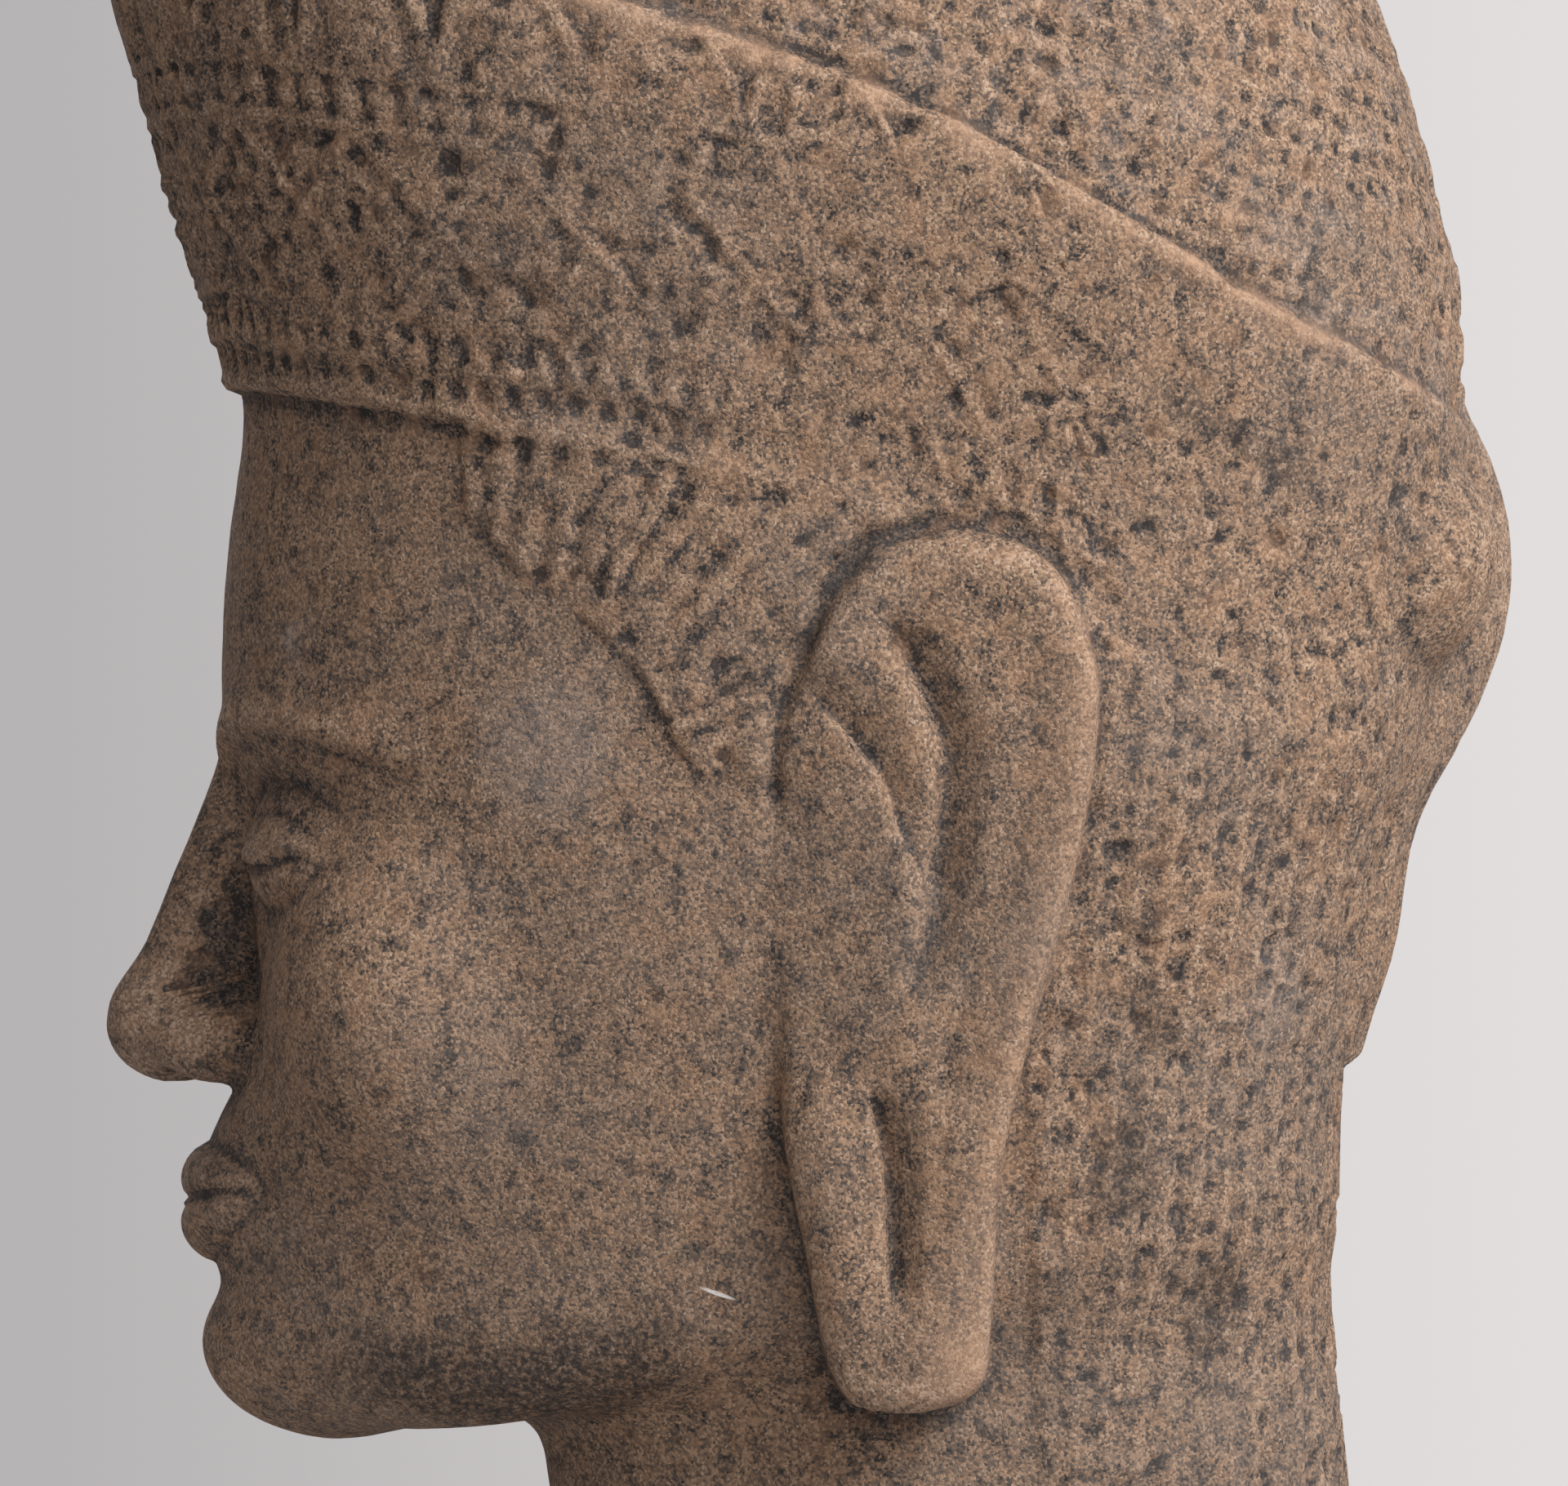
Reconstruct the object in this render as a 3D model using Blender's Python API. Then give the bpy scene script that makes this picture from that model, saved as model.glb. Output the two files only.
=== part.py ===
"""A stone head of Vishnu, carved from one block and cut flat at the neck.

The face is calm and plain, the ears are long and pierced, a tall carved diadem leans out over the
forehead and is knotted behind, and the hair rises behind it in a dome of small locks.

The stone is worked out as a field: a number for each place, below zero inside the stone and above zero
outside, close to the distance from its skin. A ray leaves a spine inside the head for each turn and
each height, and the place where it comes out of the stone is a point of the skin. The carving is then
raised or sunk along the skin's own direction.

The face looks along -Y, +X is its left side, and the flat cut lies on the ground at z = 0.
"""

import math

import bmesh
import bpy
import numpy as np
from mathutils import Matrix

# Sizes of the stone, in metres.
FACE_HEIGHT = 0.188  # hairline to the underside of the chin
NECK_LENGTH = 0.047  # underside of the chin to the flat cut
DIADEM_THICKNESS = 0.0052  # the band at its rim in front, over the hair behind it
EAR_STAND = 0.0065  # how far the ear's face stands out beyond the side of the head
RIBBON_THICKNESS = 0.005  # the tied ends, over the hair of the nape
RIBBON_HALF_WIDTH = 0.019
LOCK_PITCH = 0.0130  # from one lock of the hair to the next
LOCK_RELIEF = 0.0012
LOZENGE_WIDTH = 0.030  # one lozenge of the diadem's middle band
BAND_RELIEF = 0.0012  # the diadem's fillets and flowers

# How finely the skin is sampled, and how many faces are kept.
COLUMNS = 480
ROWS = 330
FACES_KEPT = 9600
SPARING = 2.5

# The carving is laid out in points, 188 of them from hairline to chin, as a carver's grid is.
# Heights count from the underside of the chin. Places are (y, z) seen from the side, or (x, z)
# seen from the front.
FACE = 188.0
POINT = FACE_HEIGHT / FACE
CUT = -NECK_LENGTH / POINT
DEPTH_MIDDLE = -2.5
BROW = FACE * 2 / 3
NOSE_BASE = FACE / 3
EYE = BROW - 0.30 * FACE / 3
MOUTH = NOSE_BASE - FACE / 9

# Rows of the head: height, front, widest place, back, half width.
HEAD_ROWS = np.array(
    [
        (-60, -84, 10, 96, 50),
        (-8, -88, 10, 95, 54),
        (8, -102, 9, 94.5, 59),
        (16, -104.5, 8, 93.4, 61.5),
        (28, -103, 8, 92.2, 64),
        (46, -104, 8, 91, 67.5),
        (64, -103, 8, 92.4, 70),
        (86, -102, 8, 98, 73),
        (106, -104, 8, 103, 75),
        (127, -107.5, 8, 110, 77),
        (150, -107.5, 6, 113, 79),
        (176, -104.5, 4, 115, 80.5),
        (200, -101, 2, 116, 81),
    ]
)
# Rows of the neck, in the same order.
NECK_ROWS = np.array(
    [
        (-60, -44, 26, 98.5, 60),
        (-30, -46, 26, 97.2, 56),
        (0, -50, 26, 94.4, 55),
        (40, -54, 26, 91.5, 56),
        (90, -58, 26, 92, 58),
    ]
)
# Rows of the hair under and above the diadem. The dome closes over the last of them.
CROWN_ROWS = np.array(
    [
        (120, -90, 0, 110, 74),
        (150, -96, 0, 113.5, 78.5),
        (188, -104.2, 0, 117.5, 84),
        (215, -111, 0, 118.5, 88.5),
        (245, -119, 0, 118.5, 92),
        (275, -126.5, 0, 118.5, 94),
    ]
)
DOME_TOP = 350.0
DOME_SPRING = np.array([(-125, 272), (118, 175)])
DOME_POWER = 1.8
HEAD_POWER = 2.25
JAW_RISE = 0.24
JAW_TURN = -60.0

# The diadem's lower edge and its rim, as (y, z) seen from the side.
LOWER_EDGE = np.array(
    [
        (-106, 188), (-63, 180), (-29, 174.5), (0, 168), (25, 161),
        (48, 146), (64, 131.5), (86, 125), (118, 121),
    ]
)
RIM = np.array([(-131, 274), (-85, 265), (-34, 252), (14, 235.5), (70, 206), (119, 181.3)])
# The band's thickness along its lower edge and along its rim, as shares of its thickness in front.
EDGE_SHARE = np.array([(-106, 0.54), (-62, 0.34), (-25, 0.14), (118, 0.12)])
RIM_SHARE = np.array([(-131, 1), (-50, 0.66), (30, 0.52), (118, 0.36)])
# The tied ends' thickness by height, as shares of their thickness at the tips.
ENDS_SHARE = np.array([(66, 0.9), (73, 0.95), (88, 1.06), (110, 0.76), (131, 1.22), (150, 1.3)])

# The ear seen from the side: its outline, and the middle lines of its carving.
EAR_OUTLINE = np.array(
    [
        (-8.7, 118.5), (-5.5, 131), (0.1, 145), (10.9, 158.4), (26, 161), (40.3, 155),
        (48, 138), (47.5, 118), (43.1, 96), (36, 70), (31.6, 48.4), (30.2, 25),
        (27.7, 11.4), (15, 7.4), (3.9, 11.2), (-1.7, 33), (-5.8, 55), (-7.8, 85),
    ]
)
EAR_FACE = np.array([(0, -5), (30, -2.5), (60, -0.5), (100, 1), (140, 3.5), (165, 2.5)])
EAR_SPREAD = 0.09
HELIX = [
    (4, 136), (4.6, 146), (12, 153.5), (25, 156.3), (37, 151),
    (43.3, 138), (43.3, 120), (39, 97), (32, 72), (27.5, 50),
]
HELIX_FURROW = [(18, 149.5), (31, 147), (37.6, 136.7), (36, 111.5), (27.7, 90.4), (22.5, 69.4), (20.7, 27.4)]
ANTIHELIX = [(27, 138), (29.5, 124), (27.5, 108), (20, 88), (15.5, 72)]
LOBE_FRONT = [(0.5, 62), (3, 45), (6, 25)]
LOBE_BACK = [(21.5, 58), (21.5, 40), (20.5, 20)]
# Grooves of the ear, as (z, y) from the bottom up: the lobe's slit, the hollow, and the root of the rim.
LOBE_SLIT = np.array([(27.4, 13), (41.4, 12.6), (52.6, 11.6), (62.4, 9.5)])
CONCHA = np.array(
    [
        (73, 11), (81, 16.5), (90, 19.6), (102, 21.3), (111, 22),
        (121, 22.6), (127, 21.4), (134, 18.2), (145, 12.8),
    ]
)
CRUS = np.array([(100, 19.2), (109.6, 14.4), (117.6, 11.8), (123.6, 7.1), (132.6, -0.9)])

# The edge of the hair on the temple, as (y, z), from the diadem down to the front of the ear.
TEMPLE_EDGE = np.array(
    [(-62, 192), (-61.5, 163), (-51, 152.5), (-40, 144), (-29, 132), (-24, 122), (-9, 116)]
)
NAPE_EDGE = 37.0
NAPE_MIDDLE = 52.0  # the columns of locks turn about this place behind, and run straight before it
NAPE_RADIUS = 50.0

# The diadem's level ring, and the heights over its lower edge where its bands meet.
RING_RADIUS = 105.0
FILLETS = (1.6, 17.8, 49.0, 58.5)
FILLET_WIDTH = 1.5
LOZENGES = (19.5, 47.5)
PETALS_FROM = 60.5
PETAL_TOOTH = 0.5


def blend_union(a, b, width):
    """The union of two fields, with their meeting rounded over a width."""
    share = np.clip(0.5 + 0.5 * (b - a) / width, 0, 1)
    return b + (a - b) * share - width * share * (1 - share)


def blend_common(a, b, width):
    """What two fields share, with the edge rounded over a width."""
    return -blend_union(-a, -b, width)


def step(low, high, value):
    """0 below low, 1 above high, and a smooth rise between them."""
    share = np.clip((value - low) / (high - low), 0, 1)
    return share * share * (3 - 2 * share)


def bell(distance, width):
    """A bell curve, 1 at no distance."""
    return np.exp(-((distance / width) ** 2))


def curve_at(at, table):
    """A smooth curve through the (place, value) rows of a table, level beyond its ends."""
    places, values = np.asarray(table, float).T
    slopes = np.gradient(values, places)
    at = np.clip(at, places[0], places[-1])
    k = np.clip(np.searchsorted(places, at) - 1, 0, len(places) - 2)
    span = places[k + 1] - places[k]
    s = (at - places[k]) / span
    rise = values[k] * (1 + 2 * s) * (1 - s) ** 2 + values[k + 1] * s * s * (3 - 2 * s)
    return rise + span * (slopes[k] * s * (1 - s) ** 2 - slopes[k + 1] * s * s * (1 - s))


def closed_curve(points, steps=4):
    """A smooth closed line through points, each span cut into a few steps."""
    before, here, after, beyond = (np.roll(points, n, axis=0)[:, None] for n in (1, 0, -1, -2))
    s = np.linspace(0, 1, steps, endpoint=False)[None, :, None]
    line = here + 0.5 * s * (
        after - before
        + s * (2 * before - 5 * here + 4 * after - beyond + s * (3 * (here - after) + beyond - before))
    )
    return line.reshape(-1, 2)


def line_distance(y, z, line):
    """Distance in the side view from each place to a line of straight runs."""
    nearest = np.full(np.shape(y), 1e9)
    for (y0, z0), (y1, z1) in zip(line[:-1], line[1:]):
        run, climb = y1 - y0, z1 - z0
        share = np.clip(((y - y0) * run + (z - z0) * climb) / (run * run + climb * climb), 0, 1)
        nearest = np.minimum(nearest, (y - y0 - share * run) ** 2 + (z - z0 - share * climb) ** 2)
    return np.sqrt(nearest)


def outline_distance(y, z, outline):
    """Distance in the side view to a closed outline, below zero inside it."""
    ring = np.vstack([outline, outline[:1]])
    inside = np.zeros(np.shape(y), bool)
    for (y0, z0), (y1, z1) in zip(ring[:-1], ring[1:]):
        crosses = (z0 > z) != (z1 > z)
        inside ^= crosses & (y < (y1 - y0) * (z - z0) / (z1 - z0 + 1e-12) + y0)
    return np.where(inside, -1, 1) * line_distance(y, z, ring)


def ellipsoid(x, y, z, centre, radii):
    """An egg form: near distance from a scaled ball."""
    scaled = [(a - c) / r for a, c, r in zip((x, y, z), centre, radii)]
    near = np.sqrt(sum(s * s for s in scaled))
    steep = np.sqrt(sum((s / r) ** 2 for s, r in zip(scaled, radii)))
    return near * (near - 1) / np.maximum(steep, 1e-9)


def tapered_rod(x, y, z, start, end, start_radius, end_radius):
    """A round rod between two places whose radius changes along it."""
    along = np.subtract(end, start)
    offset = [a - s for a, s in zip((x, y, z), start)]
    share = np.clip(sum(o * d for o, d in zip(offset, along)) / (along @ along), 0, 1)
    apart = np.sqrt(sum((o - share * d) ** 2 for o, d in zip(offset, along)))
    return apart - start_radius - (end_radius - start_radius) * share


def rows_field(x, y, z, rows, power, cap=None):
    """A form whose level sections are rounded squares: front and back halves meet at the widest place.

    cap is how far up the closing dome a place is, 0 at its spring and 1 at its top, and the dome's height.
    """
    front, widest, back, half = (curve_at(z, rows[:, (0, n)]) for n in range(1, 5))
    depth = np.where(y < widest, widest - front, back - widest)
    across = np.abs(x) / half
    deep = np.abs(y - widest) / depth
    ring = (across**power + deep**power + 1e-9) ** (1 / power)
    slope_x = (across / ring) ** (power - 1) / half
    slope_y = (deep / ring) ** (power - 1) / depth
    if cap is None:
        return (ring - 1) / np.maximum(np.hypot(slope_x, slope_y), 0.004)
    risen, height = cap
    whole = (ring**DOME_POWER + risen**DOME_POWER) ** (1 / DOME_POWER)
    of_ring = (ring / whole) ** (DOME_POWER - 1)
    of_rise = (risen / whole) ** (DOME_POWER - 1) / height
    steep = np.sqrt((of_ring * slope_x) ** 2 + (of_ring * slope_y) ** 2 + of_rise**2)
    return (whole - 1) / np.maximum(steep, 0.004)


def crown(x, y, z):
    """The hair: a mass that leans forward under the diadem and closes in a tall dome."""
    spring = np.interp(y, DOME_SPRING[:, 0], DOME_SPRING[:, 1])
    height = DOME_TOP - spring
    return rows_field(x, y, z, CROWN_ROWS, HEAD_POWER, (np.maximum(z - spring, 0) / height, height))


def diadem(y, z, hair):
    """The band: the hair's form made thicker, between the lower edge and the rim."""
    edge, rim = curve_at(y, LOWER_EDGE), curve_at(y, RIM)
    share = step(0, 1, (z - edge) / (rim - edge))
    share = curve_at(y, EDGE_SHARE) * (1 - share) + curve_at(y, RIM_SHARE) * share
    band = hair - DIADEM_THICKNESS / POINT * share
    band = blend_common(band, 0.92 * (edge - z), 1.6)
    return blend_common(band, 0.88 * (z - rim), 3.0)


def knot(x, y, z, skull):
    """The diadem's knot behind, two loops and the turn between them, and its tied ends lying on the nape."""
    loops = ellipsoid(np.abs(x), y, z, (21, 100, 158), (20, 22.3, 22))
    turn = ellipsoid(x, y, z, (0, 102.5, 156), (11, 23.6, 36))
    bow = blend_union(loops, turn, 2.0)
    half = RIBBON_HALF_WIDTH / POINT * (0.75 + 0.25 * step(130, 80, z))
    crowned = 1 - 0.5 * step(3, half, np.abs(x)) - 0.3 * bell(x, 2.2)
    ends = skull - RIBBON_THICKNESS / POINT * curve_at(z, ENDS_SHARE) * crowned
    ends = blend_common(ends, np.abs(x) - half, 3.0)
    ends = blend_common(ends, 67 + 0.35 * np.abs(np.abs(x) - half / 2) - z, 2.0)
    ends = blend_common(ends, 30 - y, 2.0)
    ends = blend_common(ends, z - 150, 4.0)
    return blend_union(bow, ends, 6.0)


def face(x, y, z):
    """What is added to the head in front: chin, muzzle, nose with its wings, and cheeks."""
    chin = ellipsoid(x, y, z, (0, -91, 15), (23, 20, 14.5))
    muzzle = ellipsoid(x, y, z, (0, -86, MOUTH), (31, 26, 24))
    cheek = ellipsoid(np.abs(x), y, z, (37, -72, 78), (27, 24, 32))
    form = blend_union(blend_union(chin, muzzle, 10), cheek, 18)
    bridge = tapered_rod(x, y, z, (0, -102, 118), (0, -117, NOSE_BASE + 14), 7.0, 9.0)
    tip = ellipsoid(x, y, z, (0, -117, NOSE_BASE + 9.8), (11.5, 11.5, 9.8))
    wing = ellipsoid(np.abs(x), y, z, (12, -108.5, NOSE_BASE + 7.8), (7.6, 10.5, 7.6))
    nose = blend_union(blend_union(bridge, tip, 7), wing, 4)
    nostril = ellipsoid(np.abs(x), y, z, (6.8, -114, NOSE_BASE - 0.5), (3.2, 6.2, 3.6))
    nose = blend_common(nose, -nostril, 2)
    return form, nose


def face_relief(x, z):
    """Height of the carving on the face, seen from the front: sockets, eyes, brows and lips."""
    side = np.abs(x)
    socket = bell(np.hypot((side - 27) / 18, (z - EYE - 5) / 10.5), 1)
    ball = np.clip(1 - ((side - 30.5) / 19) ** 2 - ((z - EYE + 0.5) / np.where(z > EYE, 11, 12.5)) ** 2, 0, 1)
    across = np.clip((side - 30.5) / 16.5, -1, 1)
    lid = EYE - 3.8 + 2.2 * across**2 + 0.8 * across
    below = EYE - 5.8 + 4.6 * across**2 + 0.8 * across
    inside_eye = step(1.05, 0.75, np.abs(side - 30.5) / 16.5)
    crease = EYE + 5.4 - 6.0 * across**2
    height = -4.4 * socket + 6.4 * ball**1.25
    height -= 1.1 * inside_eye * step(lid + 0.5, lid - 0.5, z) * step(below - 3.5, below, z)
    height += 0.6 * inside_eye * bell(z - lid - 1.0, 1.2)
    height += 0.5 * inside_eye * bell(z - below + 1.2, 1.2)
    height -= 0.8 * inside_eye * bell(z - crease, 1.1)
    arch = BROW + 3.2 - 8.5 * ((side - 33) / 30) ** 2
    along = step(0, 8, side) * step(66, 52, side)
    height += 2.3 * along * np.where(z > arch, bell(z - arch, 5.0), bell(z - arch, 2.6))
    line = MOUTH + 2.2 * (side / 27) ** 2 - 0.8 * bell(side, 6)
    taper = np.sqrt(np.clip(1 - (side / 28.5) ** 2, 0, 1))
    cupid = 0.8 * bell(side - 5, 3.5) - 0.6 * bell(side, 2.2)
    upper = np.clip(1 - ((z - line - 4.6 * taper) / (4.8 * taper + cupid + 0.3)) ** 2, 0, 1)
    lower = np.clip(1 - ((z - line + 5.4 * taper) / (5.5 * taper + 0.3)) ** 2, 0, 1)
    height += 3.4 * taper**0.5 * upper**0.6 + 3.8 * taper**0.5 * lower**0.6
    height -= 0.9 * taper**0.3 * bell(z - line, 0.9)
    height -= 1.4 * bell(side - 29, 3.0) * bell(z - line, 3.2)
    height -= 1.2 * bell(z - MOUTH + 15.5, 5.0) * bell(side, 17)
    under_nose = step(NOSE_BASE - 13, NOSE_BASE - 8, z) * step(NOSE_BASE + 1, NOSE_BASE - 3, z)
    height -= 1.1 * bell(side, 2.6) * under_nose
    return height


def groove(y, z, line, ahead, behind, fade=4):
    """A groove seen from the side: steep on its front side, gentle behind, and fading out at its ends."""
    past = y - curve_at(z, line)
    ends = step(line[0, 0] - 3, line[0, 0] + fade, z) * step(line[-1, 0] + 3, line[-1, 0] - 4, z)
    return bell(past, np.where(past < 0, ahead, behind)) * ends


def ear(side, y, z):
    """An ear: its outline carried out to a face that holds the rim, the hollow, the lobe and its slit."""
    face_out = 74.0 + EAR_STAND / POINT + curve_at(z, EAR_FACE) + EAR_SPREAD * (y - 15)
    face_out += 0.9 * bell(line_distance(y, z, HELIX), 4.5)
    face_out -= 0.5 * bell(line_distance(y, z, HELIX_FURROW), 1.9) * step(140, 90, z)
    face_out += 0.5 * bell(line_distance(y, z, ANTIHELIX), 6.0)
    face_out -= 3.8 * groove(y, z, CONCHA, 2.2, 5.0, 16)
    face_out -= 1.7 * groove(y, z, CRUS, 0.7, 5.0)
    face_out -= 5.5 * np.clip((14 - y) / 23, 0, 1) * step(48, 72, z) * step(141, 130, z)
    face_out += 1.2 * bell(np.hypot((y - 3) / 7, (z - 114) / 12), 1)
    face_out -= 3.4 * groove(y, z, LOBE_SLIT, 0.8, 4.0)
    face_out += 1.8 * bell(np.hypot((y - 15) / 11, (z - 14) / 9), 1)
    face_out += 1.5 * bell(line_distance(y, z, LOBE_FRONT), 4.5)
    face_out += 1.5 * bell(line_distance(y, z, LOBE_BACK), 5.0)
    return blend_common(outline_distance(y, z, EAR_RING), side - face_out, 4.5)


def stone(x, y, z):
    """The whole head as one field."""
    skull = blend_common(rows_field(x, y, z, HEAD_ROWS, HEAD_POWER), z - 215, 8)
    turn = (y - JAW_TURN) / 14
    jaw = JAW_RISE * 14 * np.logaddexp(0, turn)
    skull_cut = blend_common(skull, 0.97 * (jaw - z), 14)
    neck = blend_common(rows_field(x, y, z, NECK_ROWS, 2.15), z - 110, 8)
    added, nose = face(x, y, z)
    field = blend_union(skull_cut, added, 12)
    front = step(-58, -80, y)
    relief = np.zeros_like(x)
    relief[front > 0] = (front * face_relief(x, z))[front > 0]
    field = blend_union(field - relief, nose, 4.5)
    field = blend_union(field, neck, 10)
    hair = crown(x, y, z)
    field = blend_union(field, blend_common(hair, 140 - z, 10), 3)
    field = blend_union(field, diadem(y, z, hair), 0.8)
    field = blend_union(field, knot(x, y, z, skull), 2.5)
    field -= temple_and_nape(y, z)
    near = (np.abs(x) > 40) & (y > -30) & (y < 66) & (z > -8) & (z < 178)
    field[near] = blend_union(field[near], ear(np.abs(x[near]), y[near], z[near]), 2.2)
    return field


def temple_and_nape(y, z):
    """The hair stands a little over the skin of the temple and of the neck."""
    edge = curve_at(y, LOWER_EDGE)
    brow_line = curve_at(y, TEMPLE_EDGE[1:])
    temple = step(-62.5, -60.5, y) * step(0, 2.5, z - brow_line) * step(20, 10, y)
    nape = step(NAPE_EDGE - 2, NAPE_EDGE + 1, y - 0.05 * (60 - z))
    return 1.3 * step(2, -1, z - edge) * np.maximum(temple, nape * step(175, 165, z))


EAR_RING = closed_curve(EAR_OUTLINE)


def spaced(low, high, count, closeness):
    """Places from low to high, closer together where their closeness is larger."""
    even = np.linspace(low, high, 2001)
    total = np.cumsum(closeness(even))
    return np.interp(np.linspace(total[0], total[-1], count), total, even)


def turn_closeness(turn):
    """Columns are closest in front of the face, and at the front and back walls of the ear."""
    by_ear = 0.6 * bell(turn - 1.73, 0.4) + 1.5 * bell(turn - 1.56, 0.08) + bell(turn - 1.95, 0.1)
    return 1 + 1.8 * bell(turn - 0.08, 0.2) + by_ear


def height_closeness(height):
    """Rows are closest where they meet the mouth and the nose."""
    return 1 + 1.6 * bell(height - 82, 16)


def spine(columns, rows):
    """Where each ray starts and its way: half a turn from front to back, and from the neck to the crown.

    Below the brow the rays in front point down, so that they meet the undersides of the nose and chin.
    """
    turn = spaced(0, math.pi, columns, turn_closeness)
    ahead = np.stack([88 * np.sin(turn), -116 * np.cos(turn)])
    ahead /= np.hypot(*ahead)
    low, high = CUT - 4, 250.0
    dome = int(rows * 0.32)
    height = np.concatenate([spaced(low, high, rows - dome, height_closeness), np.full(dome, high)])
    lift = np.concatenate([np.zeros(rows - dome), np.linspace(0, math.pi / 2, dome + 1)[1:]])
    dips = [(-3, 0), (12, -14), (27, -21), (52, -26), (60, -24), (74, -20), (94, -12), (130, -5), (190, 0)]
    dip = np.radians(curve_at(height, dips)) * (height < high)
    tilt = lift[:, None] + dip[:, None] * step(2.2, 0.5, turn)[None]
    way = np.stack([np.cos(tilt) * ahead[0], np.cos(tilt) * ahead[1], np.sin(tilt)])
    return np.broadcast_to(height[:, None], tilt.shape), way


def skin(columns, rows):
    """Points of the skin on a grid of rows and columns, found by walking each ray in from outside."""
    height, way = spine(columns, rows)
    reach = np.full(height.shape, 190.0)
    for _ in range(60):
        place = reach * way
        reach = reach - 0.7 * stone(place[0], place[1], place[2] + height)
    place = reach * way
    return np.stack([place[0], place[1], place[2] + height])


def relief(x, y, z):
    """Height of the carving over the skin: the diadem's bands and the rows of locks."""
    edge, rim = curve_at(y, LOWER_EDGE), curve_at(y, RIM)
    up = z - edge
    around = np.arctan2(np.abs(x), -y) * RING_RADIUS
    by_ear = (np.abs(x) > 55) & (y > -30) & (y < 66) & (z > -8) & (z < 178)
    off_ear = np.where(by_ear, step(-0.5, 1.5, outline_distance(y, z, EAR_RING)), 1)
    off_knot = np.where(y > 60, step(34, 40, np.abs(x)), 1)
    on_band = step(-0.5, 1.0, up) * step(0.5, -1.5, z - rim) * off_knot * off_ear
    lines = sum(bell(up - at, FILLET_WIDTH) for at in FILLETS)
    ring = 2 * math.pi * RING_RADIUS
    pitch = ring / round(ring * POINT / LOZENGE_WIDTH)
    middle = (LOZENGES[0] + LOZENGES[1]) / 2
    tall = (LOZENGES[1] - LOZENGES[0]) / 2
    place = np.abs((around / pitch) % 1 - 0.5) * 2
    lattice = np.abs(place - np.abs(up - middle) / tall)
    lozenge = bell(lattice, 0.16) + bell(np.hypot(place - 1, (up - middle) / tall), 0.38)
    lozenge = lozenge * step(LOZENGES[0], LOZENGES[0] + 2, up) * step(LOZENGES[1], LOZENGES[1] - 2, up)
    tooth = np.abs(((around / pitch * 2) % 1) - 0.5) * 2
    petal = step(0.15, 0.55, tooth) * step(PETALS_FROM, PETALS_FROM + 3, up) * step(-2, -6, z - rim)
    carved = BAND_RELIEF / POINT * on_band * (lines + lozenge + PETAL_TOOTH * petal)
    row = LOCK_PITCH / POINT
    tilt = z + 0.26 * (y + 20) * step(335, 240, z)
    rows = np.cos(2 * math.pi * tilt / row) * step(0, 3, z - rim) * step(346, 330, z)
    turned = np.arctan2(np.abs(x), np.maximum(y - NAPE_MIDDLE, 1e-6)) * NAPE_RADIUS
    behind = np.where(y > NAPE_MIDDLE, turned, NAPE_RADIUS * math.pi / 2 + NAPE_MIDDLE - y)
    columns = np.cos(2 * math.pi * (behind - RIBBON_HALF_WIDTH / POINT - 3) / row)
    columns *= step(NAPE_EDGE, NAPE_EDGE + 3, y) * step(0, -3, up) * step(20, 23, np.abs(x)) * off_ear
    return carved + 0.5 * LOCK_RELIEF / POINT * (rows + columns)


def raised(points, height):
    """The points moved along the skin's outward direction, worked out from its neighbours in the field."""
    reach = 0.4
    slopes = []
    for axis in range(3):
        shift = np.zeros((3, 1, 1))
        shift[axis] = reach
        slopes.append(stone(*(points + shift)) - stone(*(points - shift)))
    outward = np.stack(slopes)
    outward /= np.maximum(np.linalg.norm(outward, axis=0), 1e-9)
    outward[0, :, (0, -1)] = 0
    return points + outward * height


def whole_turn(half):
    """The half grid and its mirror image, as one grid of rows that run once round the head."""
    other = half[:, :, -2:0:-1] * np.array([-1, 1, 1])[:, None, None]
    return np.concatenate([half, other], axis=2)


def grid_mesh(name, grid):
    """A mesh through a grid that closes round and comes together in a point at the top."""
    _, rows, columns = grid.shape
    points = grid[:, :-1].transpose(1, 2, 0).reshape(-1, 3)
    top = len(points)
    points = np.vstack([points, grid[:, -1].mean(axis=1)])
    index = np.arange(top).reshape(rows - 1, columns)
    beside = np.roll(index, -1, axis=1)
    quads = np.stack([index[:-1], beside[:-1], beside[1:], index[1:]], axis=-1).reshape(-1, 4)
    cap = np.stack([index[-1], beside[-1], np.full(columns, top)], axis=-1)
    mesh = bpy.data.meshes.new(name)
    mesh.from_pydata(points.tolist(), [], quads.tolist() + cap.tolist())
    return mesh


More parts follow.
